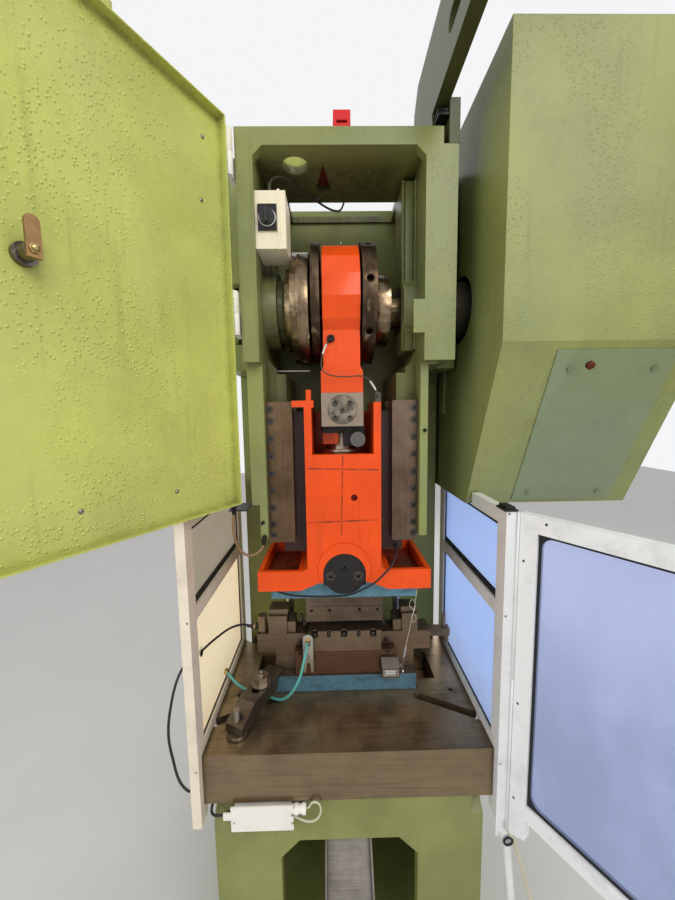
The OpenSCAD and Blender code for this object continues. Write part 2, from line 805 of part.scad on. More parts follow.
// Die set: two shoes, punch plate with punches, die plate on its block, stock guides, pillars
module upper_shoe() {
    color("steelblue") difference() {
        union() {
            block([-shoe_w / 2, die_y, slide_z - shoe_t], [shoe_w / 2, die_back, slide_z]);
            bar_z(slide_z, slide_z + 70, 25, 0, 0);
        }
        for (x = [-pillar_x, pillar_x])
            bar_z(slide_z - shoe_t - 1, slide_z + 1, pillar_d / 2 + fit, x, pillar_y);
    }
}
module punch_plate() {
    joint_z = slide_z - shoe_t - 26;
    screw_x = 42.5;
    screw_z = punch_low + 33;
    dowel_x = punch_w / 2 - 16;
    color("gray") {
        difference() {
            union() {
                block([-punch_w / 2, die_y, punch_low], [punch_w / 2, die_back - 60, joint_z - 1]);
                block([-punch_w / 2 + 1, die_y + 1, joint_z - 1], [punch_w / 2 - 1, die_back - 61, joint_z]);
                block([-punch_w / 2, die_y, joint_z], [punch_w / 2, die_back - 60, slide_z - shoe_t]);
            }
            for (x = [-screw_x, screw_x]) bar_y(die_y - 1, die_y + 12, 8, x, screw_z);
            for (x = [-dowel_x, dowel_x]) bar_y(die_y - 1, die_y + 6, 4, x, screw_z);
        }
        for (x = [-screw_x, screw_x]) socket_screw_y(x, die_y + 1, screw_z, 7.8, 11, 0, 0);
        for (x = punch_x) bar_z(stripper_top + 1, punch_low, 9, x, punch_y);
    }
}
module lower_shoe() {
    color("steelblue") difference() {
        block([-shoe_w / 2, die_y, table_h], [shoe_w / 2, die_back, lower_top]);
        block([-drop_w / 2, die_mid - 50, table_h - 1], [drop_w / 2, die_mid + 50, lower_top + 1]);
        for (x = [-pillar_x, pillar_x]) bar_z(table_h + 5, lower_top + 1, pillar_d / 2, x, pillar_y);
    }
}
module die_block() {
    color("dimgray") difference() {
        block([-block_w / 2, die_y + 4, lower_top], [block_w / 2, die_back - 60, die_block_top]);
        block([-90, die_mid - 45, lower_top - 1], [90, die_mid - 15, die_block_top + 1]);
    }
}
// Die plate with the fixed stripper over it, and the channel for the strip between them
module die_plate() {
    front = die_y + 2;
    back = die_back - 60;
    color("gray") difference() {
        block([-die_plate_w / 2, front, die_block_top], [die_plate_w / 2, back, stripper_top]);
        block([-die_plate_w, front + 24, die_top], [die_plate_w, back - 24, die_top + channel_h]);
        for (x = punch_x) bar_z(die_block_top - 1, stripper_top + 1, 9 + gap, x, punch_y);
        // Notches for the pins in the stripper's front edge
        for (x = [-87, -2, 82]) bar_z(die_top, stripper_top + 1, 9, x, front);
        for (x = [-46, 40]) bar_z(die_top, stripper_top + 1, 5, x, front);
    }
}
module stock_guide(outer, top_x0, top_x1) {
    low = die_block_top - 19;
    step = table_h + 161;
    top = table_h + 215;
    inner_top = top - 20;
    inner_x = block_w / 2;
    y0 = die_y + 30;
    y1 = die_y + 90;
    block([inner_x, y0, lower_top], [shoe_w / 2 - 2, y1, low]);
    block([inner_x, y0, low], [outer, y1, step]);
    block([die_plate_w / 2, y0, die_block_top], [inner_x, y1, step]);
    block([top_x0, y0, step], [top_x1, y1, top]);
    block([top_x0 - 2, y0 + 8, top], [top_x1 - 2, y1 - 8, top + 17]);
    block([inner_x, y0 + 4, step], [top_x0, y1 - 4, inner_top]);
}
module stock_guides() {
    step = table_h + 161;
    arm_z = die_block_top - 6;
    arm_end = min(326, guard_x - 24);
    arm_y = die_y + 79;
    elbow_x = -245;
    elbow_y = die_y + 50;
    color("dimgray") {
        stock_guide(255, 171, 217);
        mirror([1, 0, 0]) stock_guide(258, 170, 224);
        // Arm on the right with its stud
        block([250, arm_y - 12, arm_z], [arm_end, arm_y + 11, arm_z + 24]);
        bar_z(arm_z - 16, arm_z + 65, 6, arm_end - 16, arm_y);
        bar_z(arm_z - 22, arm_z, 12, arm_end - 12, arm_y);
        // Cable fitting on the left
        bar_z(step, step + 49, 13, elbow_x, elbow_y);
        bar_x(elbow_x - 26, elbow_x, 9, elbow_y, step + 14);
    }
}
module guide_pillars() {
    color("silver") for (x = [-pillar_x, pillar_x])
        bar_z(table_h + 5, slide_z - stroke - 3, pillar_d / 2, x, pillar_y);
}
module nozzle_bracket() {
    x = -105.5;
    r = 14.5;
    y0 = die_y - 16;
    t = 6;
    low = table_h + 71;
    top = table_h + 185;
    notch_top = low + 59;
    hole_z = top - r - 3;
    color("lightgray") {
        difference() {
            union() {
                block([x - r, y0, low], [x + r, y0 + t, top - r]);
                bar_y(y0, y0 + t, r, x, top - r);
            }
            plate_y(y0 - 1, t + 2) polygon([[x - 8, low - 1], [x + 8, low - 1], [x, notch_top]]);
            bar_y(y0 - 1, y0 + t + 1, 6, x, hole_z);
            block([x - 6, y0 - 1, hole_z - 16], [x + 6, y0 + t + 1, hole_z]);
        }
        // Foot on the die block
        block([x - r, y0 + t, low + 24], [x + r, die_y + 4, low + 44]);
    }
}
// Stroke counter on the die block, its face sloped, and the lever that the string lifts
module stroke_counter() {
    low = lower_top + 11;
    front = die_y - 30;
    color("dimgray") difference() {
        plate_x(counter_x0, counter_x1 - counter_x0) polygon([
            [front, low], [die_y + 4, low], [die_y + 4, low + 45], [die_y - 5, low + 45], [front, low + 29]
        ]);
        block([counter_x0 + 8, front - 1, low + 9], [counter_x1 - 8, front + 2, low + 22]);
        bar_x(counter_x1 - 12, counter_x1 + 1, 3 + fit, lever_y, lever_z);
    }
}
module counter_lever() {
    x = counter_x1 + gap;
    arm = 40;
    rise = 22;
    color("silver") {
        bar_x(counter_x1 - 11, x + 7, 3, lever_y, lever_z);
        translate([0, lever_y, lever_z]) rotate([-rise, 0, 0]) difference() {
            union() {
                bar_x(x + 1, x + 6, 8, 0, 0);
                bar_x(x + 2, x + 5, 5, -arm, 0);
                block([x + 2, -arm, -4], [x + 5, 0, 4]);
            }
            bar_x(x, x + 8, 2, -arm, 0);
        }
    }
}
// Strap clamp on the shoe's front left corner, its heel on the foot of a jack screw
module strap_clamp() {
    w = 52;
    heel_z = table_h + pad_t;
    strap_top = lower_top + strap_t;
    color("dimgray") translate([heel_x, heel_y, 0]) rotate([0, 0, strap_angle]) difference() {
        plate_y(-w / 2, w) polygon([
            [-22, heel_z], [22, heel_z], [50, lower_top - 24], [135, lower_top - 24], [143, lower_top],
            [165, lower_top], [165, strap_top], [30, strap_top], [-22, strap_top - 28]
        ]);
        translate([0, 0, heel_z]) linear_extrude(60) {
            translate([69, 0]) circle(r = 11, $fn = 48);
            translate([69, -11]) square([45, 22]);
            translate([114, 0]) circle(r = 11, $fn = 48);
        }
        bar_z(heel_z - 1, strap_top + 1, 8 + fit, -8, 0);
    }
}
module clamp_studs() {
    out = 264.6;
    head = 34;
    head_top = table_h - 20;
    nut_z = lower_top + strap_t + 5;
    color("dimgray") {
        mirror([1, 0, 0]) rotate([0, 0, -tslot_angle]) difference() {
            union() {
                translate([out - head / 2, -head / 2, head_top - 14]) cube([head, head, 14]);
                bar_z(head_top - 1, nut_z + 28, 10, out, 0);
                bar_z(nut_z - 5, nut_z, 26, out, 0);
                translate([out, 0, nut_z]) cylinder(r = 22, h = 20, $fn = 6);
            }
            translate([out, 0, nut_z + 24]) cylinder(r1 = 0, r2 = 5, h = 5, $fn = 32);
        }
        // Jack screw under the heel, standing on its pad
        translate([heel_x, heel_y, 0]) rotate([0, 0, strap_angle]) {
            bar_z(table_h, table_h + pad_t, 26, -8, 0);
            bar_z(table_h + pad_t - 1, table_h + pad_t + 56, 8, -8, 0);
        }
    }
}

// Crown door: folded sheet pan, drawn closed
module swing_door() {
    translate([hinge_x, hinge_y, 0]) rotate([0, 0, -door_open]) translate([-hinge_x, -hinge_y, 0]) children();
}
module crown_door() {
    t = 3;
    y0 = door_face - door_t;
    color("olivedrab") swing_door() {
        difference() {
            block([door_x, y0, door_z], [door_x + door_w, door_face, door_z + door_h]);
            block([door_x + t, y0 + t, door_z + t],
                  [door_x + door_w - t, door_face + 1, door_z + door_h - t]);
            bar_y(y0 - 1, y0 + t + 1, 12, lock_x, lock_z);
        }
        // Upper hinge barrels with their leaves
        for (z = hinge_z) {
            difference() {
                bar_z(z + hinge_h, z + 2 * hinge_h, hinge_r, hinge_x, hinge_y);
                bar_z(z + hinge_h - 1, z + 2 * hinge_h + 1, 6 + fit, hinge_x, hinge_y);
            }
            block([hinge_x + hinge_r - 2, hinge_y - 4, z + hinge_h], [door_x, hinge_y, z + 2 * hinge_h]);
        }
        // Key of the interlock on the top edge
        block([key_x - 20, y0 + 6, door_z + door_h], [key_x + 20, y0 + 10, door_z + door_h + 28]);
    }
}
module door_hinges() {
    color("ivory") for (z = hinge_z) {
        top = z + hinge_h - gap;
        bar_z(z, top, hinge_r, hinge_x, hinge_y);
        bar_z(top - 1, z + 2 * hinge_h - 2, 6, hinge_x, hinge_y);
        block([hinge_x - 3, hinge_y, z], [hinge_x + 3, crown_y + 30, top]);
        block([hinge_x - 3, crown_y + 6, z], [-crown_x, crown_y + 30, top]);
    }
}
module door_lock() {
    y0 = door_face - door_t;
    color("dimgray") swing_door() {
        bar_y(y0 - 8, y0, 17, lock_x, lock_z);
        bar_y(y0, crown_y + keeper_t, 11, lock_x, lock_z);
        bar_y(y0 + 3, y0 + 12, 16, lock_x, lock_z);
    }
}
module lock_cam() {
    cam_y = crown_y + keeper_t + gap;
    color("darkgoldenrod") swing_door() {
        translate([lock_x - 9, cam_y + 6, lock_z - 12]) rotate([90, 0, 0]) linear_extrude(6) {
            square([18, 48]);
            translate([9, 48]) circle(r = 9, $fn = 32);
        }
    }
}

// Switches on the crown
module interlock_switch() {
    x0 = key_x - 20;
    color("firebrick") difference() {
        block([x0, crown_y + 4, press_h], [x0 + 40, crown_y + 44, press_h + 38]);
        block([x0 + 8, crown_y + 3, press_h + 10], [x0 + 32, crown_y + 14, press_h + 16]);
    }
}
module switch_box() {
    y0 = crown_y + 8;
    y1 = y0 + 98;
    z0 = table_h + 1196;
    z1 = z0 + 129;
    base_x = -crown_in + 53;
    color("ivory") {
        block([-crown_in, y0, z0], [base_x, y1, z1]);
        block([base_x, y0 - 2, z0 - 2], [base_x + 6, y1 + 2, z1 + 2]);
        block([base_x + 6, y0, z0], [base_x + 19, y1, z1]);
        bar_z(z1, z1 + 16, 12, -crown_in + 28, y0 + 50);
    }
    color("black") block([-crown_in + 8, y0 - 3, z0 + 38], [base_x - 2, y0, z0 + 100]);
}
module selector_knob() {
    z = table_h + 1264;
    x = -crown_in + 29;
    color("dimgray") {
        bar_y(crown_y - 4, crown_y + 5 - gap, 18, x, z);
        block([x - 4, crown_y - 14, z - 16], [x + 4, crown_y - 4, z + 16]);
    }
}

// Arm over the crown, with its long eye near the front end
module overhead_arm() {
    x0 = crown_x - 19;
    t = 31;
    top = press_h + 232;
    low = press_h + 50;
    front = -400;
    root = ceiling_z + ceiling_t;
    rim_back = crown_y + rim_d;
    color("olivedrab") difference() {
        plate_x(x0, t) polygon([
            [95, root], [60, press_h + 190], [20, top], [front + 40, top], [front, top - 40],
            [front, low + 40], [front + 40, low], [rim_back + 10, low], [rim_back, root]
        ]);
        translate([x0 - 1, front + 80, low + 70]) rotate([90, 0, 90]) linear_extrude(t + 2) {
            circle(r = 20, $fn = 48);
            translate([0, -20]) square([60, 40]);
            translate([60, 0]) circle(r = 20, $fn = 48);
        }
    }
    color("darkolivegreen") block([x0 + t, crown_y, press_h - 37], [x0 + t + 25, crown_y + 60, press_h + 60]);
}

// Flywheel guard of folded sheet, with the hatch in its sloping front
module cover_outline(inset) {
    polygon([
        [cover_y + inset, cover_top - inset], [cover_back - inset, cover_top - inset],
        [cover_back - inset, cover_low + inset],
        [cover_low_y + inset * 0.7, cover_low + inset], [cover_y + inset, cover_bend + inset * 0.2]
    ]);
}
module flywheel_guard() {
    color("olivedrab") {
        difference() {
            plate_x(cover_x, cover_w) cover_outline(0);
            plate_x(cover_x + sheet_t, cover_w - 2 * sheet_t) cover_outline(sheet_t);
            bar_x(cover_x - 1, cover_x + sheet_t + 1, quill_r + 14, 0, crank_z);
            bar_x(cover_x - 1, cover_x + sheet_t + 1, 45, motor_y, motor_z);
        }
        // Distance strips against the frame
        for (y = [110, cover_back - 60])
            block([frame_x, y, cover_low + 250], [cover_x, y + 40, cover_top - 180]);
    }
}
module guard_hatch() {
    slope = atan2(cover_bend - cover_low, cover_y - cover_low_y);
    run = norm([cover_bend - cover_low, cover_low_y - cover_y]);
    x0 = cover_x + 125;
    color("olivedrab") translate([0, cover_low_y, cover_low]) rotate([slope - 90, 0, 0]) {
        translate([x0, -gap - 2, 12]) cube([270, 2, run - 30]);
        for (x = [40, 230], z = [40, run - 60])
            translate([x0 + x, -gap - 2, z]) rotate([90, 0, 0]) cylinder(r = 7, h = 4, $fn = 24);
    }
}

// Motor inside the head, its shelf, pulley and belt
module motor() {
    x1 = frame_x - frame_t - 6;
    color("slategray") {
        bar_x(x1 - motor_len, x1 - 20, motor_r, motor_y, motor_z);
        bar_x(x1 - motor_len - 30, x1 - motor_len, motor_r - 10, motor_y, motor_z);
        difference() {
            bar_x(x1 - 20, x1, motor_r - 6, motor_y, motor_z);
            bar_x(x1 - 21, x1 + 1, 30, motor_y, motor_z);
        }
        block([x1 - motor_len + 20, motor_y - 80, motor_z - motor_r - 12],
              [x1 - 40, motor_y + 80, motor_z - motor_r + 30]);
        block([x1 - motor_len + 60, motor_y - 50, motor_z + motor_r - 10],
              [x1 - 90, motor_y + 50, motor_z + motor_r + 50]);
    }
}
module motor_pulley() {
    shaft_x = frame_x - frame_t - 6 - 15;
    color("gray") {
        bar_x(shaft_x, belt_x + belt_w + 20, 19, motor_y, motor_z);
        bar_x(belt_x - 8, belt_x, pulley_r + 8, motor_y, motor_z);
        bar_x(belt_x, belt_x + belt_w, pulley_r, motor_y, motor_z);
        bar_x(belt_x + belt_w, belt_x + belt_w + 8, pulley_r + 8, motor_y, motor_z);
    }
}
// Belt outline: two circles and the strip between their outer tangent points
module belt_outline(extra) {
    dy = motor_y;
    dz = motor_z - crank_z;
    d = norm([dy, dz]);
    dir = atan2(dz, dy);
    r1 = flywheel_r + gap + extra;
    r2 = pulley_r + gap + extra;
    a = acos((r1 - r2) / d);
    translate([0, crank_z]) {
        circle(r = r1, $fn = 96);
        translate([dy, dz]) circle(r = r2, $fn = 64);
        polygon([
            r1 * [cos(dir + a), sin(dir + a)],
            [dy, dz] + r2 * [cos(dir + a), sin(dir + a)],
            [dy, dz] + r2 * [cos(dir - a), sin(dir - a)],
            r1 * [cos(dir - a), sin(dir - a)]
        ]);
    }
}
module drive_belt() {
    color("black") difference() {
        plate_x(belt_x + 1, belt_w - 2) belt_outline(belt_t);
        plate_x(belt_x, belt_w) belt_outline(0);
    }
}

// Side guards: aluminium posts and rails along both sides of the table
module side_guard_frame(top_back, post_top) {
    x1 = guard_x + profile_t;
    front = guard_front - post_d;
    color("gainsboro") difference() {
        union() {
            block([guard_x, front, guard_low], [x1, guard_front, guard_top]);
            block([guard_x, guard_back - post_d, guard_low], [x1, guard_back, post_top]);
            for (z = [low_rail_z, mid_rail_z])
                block([guard_x, guard_front, z], [x1, guard_back - post_d, z + rail_h]);
            block([guard_x, guard_front, guard_top - rail_h], [x1, top_back, guard_top]);
        }
        // Screw holes in the front post
        for (z = [table_h - 20, table_h + 347, guard_top - 5]) bar_y(front - 1, front + 8, 3, guard_x + 6, z);
    }
}
module left_guard() {
    mirror([1, 0, 0]) side_guard_frame(guard_back - post_d, guard_top);
}
// The right one carries the knuckles of the front guard's hinge, and a strut below its post
module right_guard() {
    post_y = guard_front - post_d;
    eye_x = front_x - 2;
    eye_y = post_y - 2;
    lean = 0.1;
    tube_low = table_h - 430;
    rod_low = table_h - 540;
    plate_t = 4;
    side_guard_frame(rail_back, cover_low - 2);
    color("gainsboro") for (z = knuckle_z) {
        bar_z(z, z + knuckle_h - gap, knuckle_r, front_x, front_y);
        bar_z(z + knuckle_h - 1, z + 2 * knuckle_h - 2, pin_r, front_x, front_y);
        block([guard_x + profile_t, front_y, max(z, guard_low)],
              [guard_x + profile_t + 2, post_y + 20, z + knuckle_h - gap]);
    }
    color("gray") {
        // Link plate behind the post's foot, and the eye
        for (p = [[guard_x + profile_t, guard_low], [eye_x, strut_z + 10]])
            block([guard_x + 2, post_y + 4, strut_z - 10], [p[0], post_y + 4 + plate_t, p[1]]);
        difference() {
            bar_y(eye_y - 8, post_y + 6, 14, eye_x, strut_z);
            bar_y(eye_y - 9, eye_y - 2, 8, eye_x, strut_z);
        }
        // Tube and rod, down to the bracket on the base
        translate([eye_x, eye_y, strut_z]) multmatrix([[1, 0, -lean, 0], [0, 1, 0, 0], [0, 0, 1, 0]]) {
            translate([0, 0, tube_low - strut_z]) cylinder(r = 10, h = strut_z - 8 - tube_low, $fn = 48);
            translate([0, 0, tube_low - strut_z - 14]) cylinder(r = 12, h = 16, $fn = 48);
            translate([0, 0, rod_low - strut_z]) cylinder(r = 4, h = tube_low - rod_low, $fn = 32);
        }
        block([frame_x - 40, base_front - 8, rod_low - 15], [eye_x + 60, base_front, rod_low + 15]);
        bar_y(eye_y - 6, base_front - 8, 8, eye_x + lean * (strut_z - rod_low), rod_low);
    }
}
module guard_panels() {
    x0 = guard_x + 8;
    t = 5;
    slack = 0.5;
    front = guard_front + slack;
    back = guard_back - post_d - slack;
    low = low_rail_z + rail_h + slack;
    high = mid_rail_z + rail_h + slack;
    top = guard_top - rail_h - slack;
    color("lightsteelblue") {
        both_sides() block([x0, front, low], [x0 + t, back, mid_rail_z - slack]);
        mirror([1, 0, 0]) block([x0, front, high], [x0 + t, back, top]);
        block([x0, front, high], [x0 + t, rail_back, top]);
        block([x0, rail_back - 1, high], [x0 + t, back, cover_low - 2 - slack]);
    }
}

// Front guard, drawn closed in front of the posts and then swung open about its hinge
module swing_front() {
    translate([front_x, front_y, 0]) rotate([0, 0, front_open]) translate([-front_x, -front_y, 0]) children();
}
module front_guard() {
    y1 = guard_front - post_d - 0.5;
    y0 = y1 - profile_t;
    x1 = front_x - knuckle_r - 1;
    x0 = -guard_x - profile_t;
    color("gainsboro") swing_front() {
        difference() {
            union() {
                block([x0, y0, front_low], [x1, y1, guard_top]);
                // The hinge stile is longer, its foot cut at a slant
                plate_y(y0, profile_t) polygon([
                    [x1 - front_bar, foot_z + 18], [x1, foot_z], [x1, guard_top], [x1 - front_bar, guard_top]
                ]);
            }
            block([x0 + front_bar, y0 - 1, front_low + front_bar],
                  [x1 - front_bar, y1 + 1, guard_top - front_bar]);
        }
        for (z = knuckle_z) difference() {
            union() {
                block([x1, y0 + 2, z + knuckle_h], [x1 + 2, front_y, z + 2 * knuckle_h - gap]);
                bar_z(z + knuckle_h, z + 2 * knuckle_h - gap, knuckle_r, front_x, front_y);
            }
            bar_z(z + knuckle_h - 1, z + 2 * knuckle_h + 1, pin_r + fit, front_x, front_y);
        }
    }
}
module front_panel() {
    y0 = guard_front - post_d - 0.5 - profile_t + 8;
    x1 = front_x - knuckle_r - 1 - front_bar;
    x0 = -guard_x - profile_t + front_bar;
    color("lightsteelblue") swing_front()
        block([x0, y0, front_low + front_bar], [x1, y0 + 5, guard_top - front_bar]);
}

// Terminal box under the front edge of the table, with its gland and its face plate
module terminal_box() {
    x0 = -table_w / 2 + 66;
    x1 = x0 + 149;
    face_y = base_front - 18;
    plate_low = table_under - 62;
    color("white") {
        block([x0 + 6, face_y, table_under - 58], [x1 - 5, base_front, table_under - 6]);
        difference() {
            union() {
                block([x0, face_y - 3, plate_low], [x1, face_y, table_under + 3]);
                block([x0 - 18, face_y - 3, table_under - 31], [x0, face_y, table_under - 12]);
            }
            bar_y(face_y - 4, face_y + 1, 3, x0 + 7.5, table_under - 39);
            for (z = [plate_low + 14, plate_low + 36])
                block([x1 - 5, face_y - 4, z], [x1 + 1, face_y + 1, z + 8]);
        }
    }
    color("gray") for (i = [0:3])
        bar_x(x1 - 6 + i * 9, x1 + 3 + i * 9, i % 2 == 0 ? 10 : 12, base_front - 12.5, table_under - 14);
}

frame();
crown_housing();
bolster();
bed_plate();
scrap_chute();
guide_blocks();
gib_left();
gib_right();
gib_screws();
left_bearing();
right_quill();
shaft_cover();
door_hinges();
interlock_switch();
switch_box();
selector_knob();
overhead_arm();
flywheel_guard();
guard_hatch();
motor();
motor_pulley();
drive_belt();
flywheel();
crankshaft();
setting_drum();
eccentric_bush();
clamp_ring();
clutch_hub();
rod();
rod_bush();
clamp_block();
block_cover();
ball_spindle();
adjuster_collar();
adjuster_knob();
slide();
shank_cap();
slide_screws();
ball_seat();
upper_shoe();
punch_plate();
lower_shoe();
die_block();
die_plate();
stock_guides();
guide_pillars();
nozzle_bracket();
stroke_counter();
counter_lever();
strap_clamp();
clamp_studs();
crown_door();
door_lock();
lock_cam();
left_guard();
right_guard();
front_guard();
guard_panels();
front_panel();
terminal_box();
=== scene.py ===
"""Looks of an open-front stamping press: paints, oily steel, guards, leads and the stage."""

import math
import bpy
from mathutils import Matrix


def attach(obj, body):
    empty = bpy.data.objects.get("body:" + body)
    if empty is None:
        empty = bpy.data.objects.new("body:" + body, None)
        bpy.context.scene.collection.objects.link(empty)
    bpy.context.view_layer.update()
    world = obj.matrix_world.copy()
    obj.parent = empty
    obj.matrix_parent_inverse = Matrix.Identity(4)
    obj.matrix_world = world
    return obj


bl_info = {"name": "Stamping press looks", "version": (1, 0, 0), "blender": (4, 5, 0),
    "location": "View3D > Sidebar > Press",
    "description": "Finishes, leads and fittings of an open-front eccentric press, with its stage",
    "category": "Object"}

import bmesh
import bpy
import numpy as np
from mathutils import Matrix, Vector

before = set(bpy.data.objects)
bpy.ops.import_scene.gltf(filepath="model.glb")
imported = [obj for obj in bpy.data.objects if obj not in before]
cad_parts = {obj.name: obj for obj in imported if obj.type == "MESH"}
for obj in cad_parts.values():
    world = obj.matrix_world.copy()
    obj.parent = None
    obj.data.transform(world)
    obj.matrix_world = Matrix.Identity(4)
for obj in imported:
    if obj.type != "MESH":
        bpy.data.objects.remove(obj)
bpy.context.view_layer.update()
UP, DOWN, AHEAD, RIGHT, LEFT = (0, 0, 1), (0, 0, -1), (0, -1, 0), (1, 0, 0), (-1, 0, 0)
DOOR_OUT = np.array([0.857167, -0.515038, 0.0])
DOOR_HINGE, DOOR_OPEN = (-252.0, -172.0), -121
GUARD_HINGE, GUARD_OPEN = (376.0, -294.0), 122


def math_node(operation, swapped=False):
    """A method that adds a Math node between a value and the others it is given."""
    def method(self, *others):
        terms = (*others, self) if swapped else (self, *others)
        return self.finish.node("ShaderNodeMath", {"operation": operation}, dict(enumerate(terms)))
    return method


class Value:
    """One output of a node. The usual operators on it add Math nodes to its material."""

    def __init__(self, finish, socket):
        self.finish = finish
        self.socket = socket

    __add__, __radd__ = math_node("ADD"), math_node("ADD", True)
    __sub__, __rsub__ = math_node("SUBTRACT"), math_node("SUBTRACT", True)
    __mul__, __rmul__ = math_node("MULTIPLY"), math_node("MULTIPLY", True)
    __truediv__, __pow__, __abs__ = math_node("DIVIDE"), math_node("POWER"), math_node("ABSOLUTE")
    __lt__, __gt__ = math_node("LESS_THAN"), math_node("GREATER_THAN")
    high, low = math_node("MAXIMUM"), math_node("MINIMUM")


class Finish:
    """One material of nodes: a Principled shader and the patterns that feed it."""

    def __init__(self, name):
        self.material = bpy.data.materials.new(name)
        self.material.use_nodes = True
        self.tree = self.material.node_tree
        self.tree.nodes.clear()
        self.shader = self.tree.nodes.new("ShaderNodeBsdfPrincipled")
        self.output = self.tree.nodes.new("ShaderNodeOutputMaterial")
        self.tree.links.new(self.shader.outputs[0], self.output.inputs[0])
        self.tone = (0.5, 0.5, 0.5)

    def plug(self, value, socket):
        """Links a value to a socket, or writes a plain number or colour on it."""
        if isinstance(value, Value):
            self.tree.links.new(value.socket, socket)
        else:
            socket.default_value = value

    def node(self, kind, settings=None, sockets=None, out=0):
        """Adds a node, sets it up, feeds its sockets and returns one of its outputs."""
        made = self.tree.nodes.new(kind)
        for key, value in (settings or {}).items():
            setattr(made, key, value)
        for key, value in (sockets or {}).items():
            self.plug(value, made.inputs[key])
        return Value(self, made.outputs[out])

    def at(self, scale=(1, 1, 1), move=(0, 0, 0)):
        """Object coordinates in metres, scaled and moved."""
        place = self.node("ShaderNodeTexCoord", out=3)
        return self.node("ShaderNodeMapping", None, {"Vector": place, "Scale": scale, "Location": move})

    def axes(self):
        """The three object coordinates as separate values."""
        place = self.node("ShaderNodeTexCoord", out=3)
        return [self.node("ShaderNodeSeparateXYZ", None, {0: place}, out=i) for i in range(3)]

    def vector(self, x, y, z):
        """A vector made of three values."""
        return self.node("ShaderNodeCombineXYZ", None, {0: x, 1: y, 2: z})

    def noise(self, scale, detail=3.0, rough=0.55, at=None, stretch=(1, 1, 1)):
        """Cloudy noise from 0 to 1, with about scale lumps to a metre."""
        place = at or self.at(stretch)
        sockets = {"Vector": place, "Scale": scale, "Detail": detail, "Roughness": rough}
        return self.node("ShaderNodeTexNoise", None, sockets)

    def clouds(self, low, high, *noise, **place):
        """Noise whose values from low to high are spread from 0 to 1."""
        return self.fade(self.noise(*noise, **place), low, high)

    def joints(self, reach, low, high):
        """0 on open faces and 1 where other faces come within reach."""
        return self.fade(1 - self.corner(reach), low, high)

    def cells(self, scale, at=None):
        """Distance to the nearest of scattered points, in cells."""
        return self.node("ShaderNodeTexVoronoi", None, {"Vector": at or self.at(), "Scale": scale})

    def fade(self, value, low, high):
        """0 below low, 1 above high, and a soft step between them."""
        settings = {"interpolation_type": "SMOOTHSTEP"}
        return self.node("ShaderNodeMapRange", settings, {0: value, 1: low, 2: high, 3: 0.0, 4: 1.0})

    def mix(self, share, first, second):
        """One colour turning into another as share goes from 0 to 1."""
        colours = [c if isinstance(c, Value) else (*c, 1) for c in (first, second)]
        settings = {"data_type": "RGBA", "clamp_factor": True}
        return self.node("ShaderNodeMix", settings, {0: share, 6: colours[0], 7: colours[1]}, out=2)

    def tint(self, share, colour):
        """Turns the finish's tone into another colour by share."""
        self.tone = self.mix(share, self.tone, colour)

    def upward(self):
        """1 on faces that look up, 0 on upright ones and those that look down."""
        normal = self.node("ShaderNodeNewGeometry", out=3)
        return self.fade(self.node("ShaderNodeSeparateXYZ", None, {0: normal}, out=2), 0.3, 0.7)

    def corner(self, reach):
        """1 on open faces, falling towards 0 where other faces come within reach."""
        return self.node("ShaderNodeAmbientOcclusion", {"samples": 4}, {"Distance": reach}, out=1)

    def edge(self, reach):
        """1 near a convex edge, found by looking into the body, and 0 on flat faces."""
        inside = {"samples": 4, "inside": True}
        return 1 - self.node("ShaderNodeAmbientOcclusion", inside, {"Distance": reach}, out=1)

    def bump(self, height):
        """A normal that is raised by a height in metres."""
        return self.node("ShaderNodeBump", None, {"Height": height, "Distance": 1.0, "Strength": 1.0})

    def wear(self, **sockets):
        """Feeds the tone and the shader's other sockets, named with underscores for spaces."""
        for key, value in {"Base Color": self.tone, **sockets}.items():
            socket = self.shader.inputs[key.replace("_", " ")]
            if socket.type == "RGBA" and not isinstance(value, Value):
                value = (*value, 1)
            self.plug(value, socket)
        return self.material


def array(values):
    """Rows of numbers for numpy."""
    return np.array(values, float)


def scaled(colour, factor):
    """A colour made lighter or darker."""
    return tuple(c * factor for c in colour)


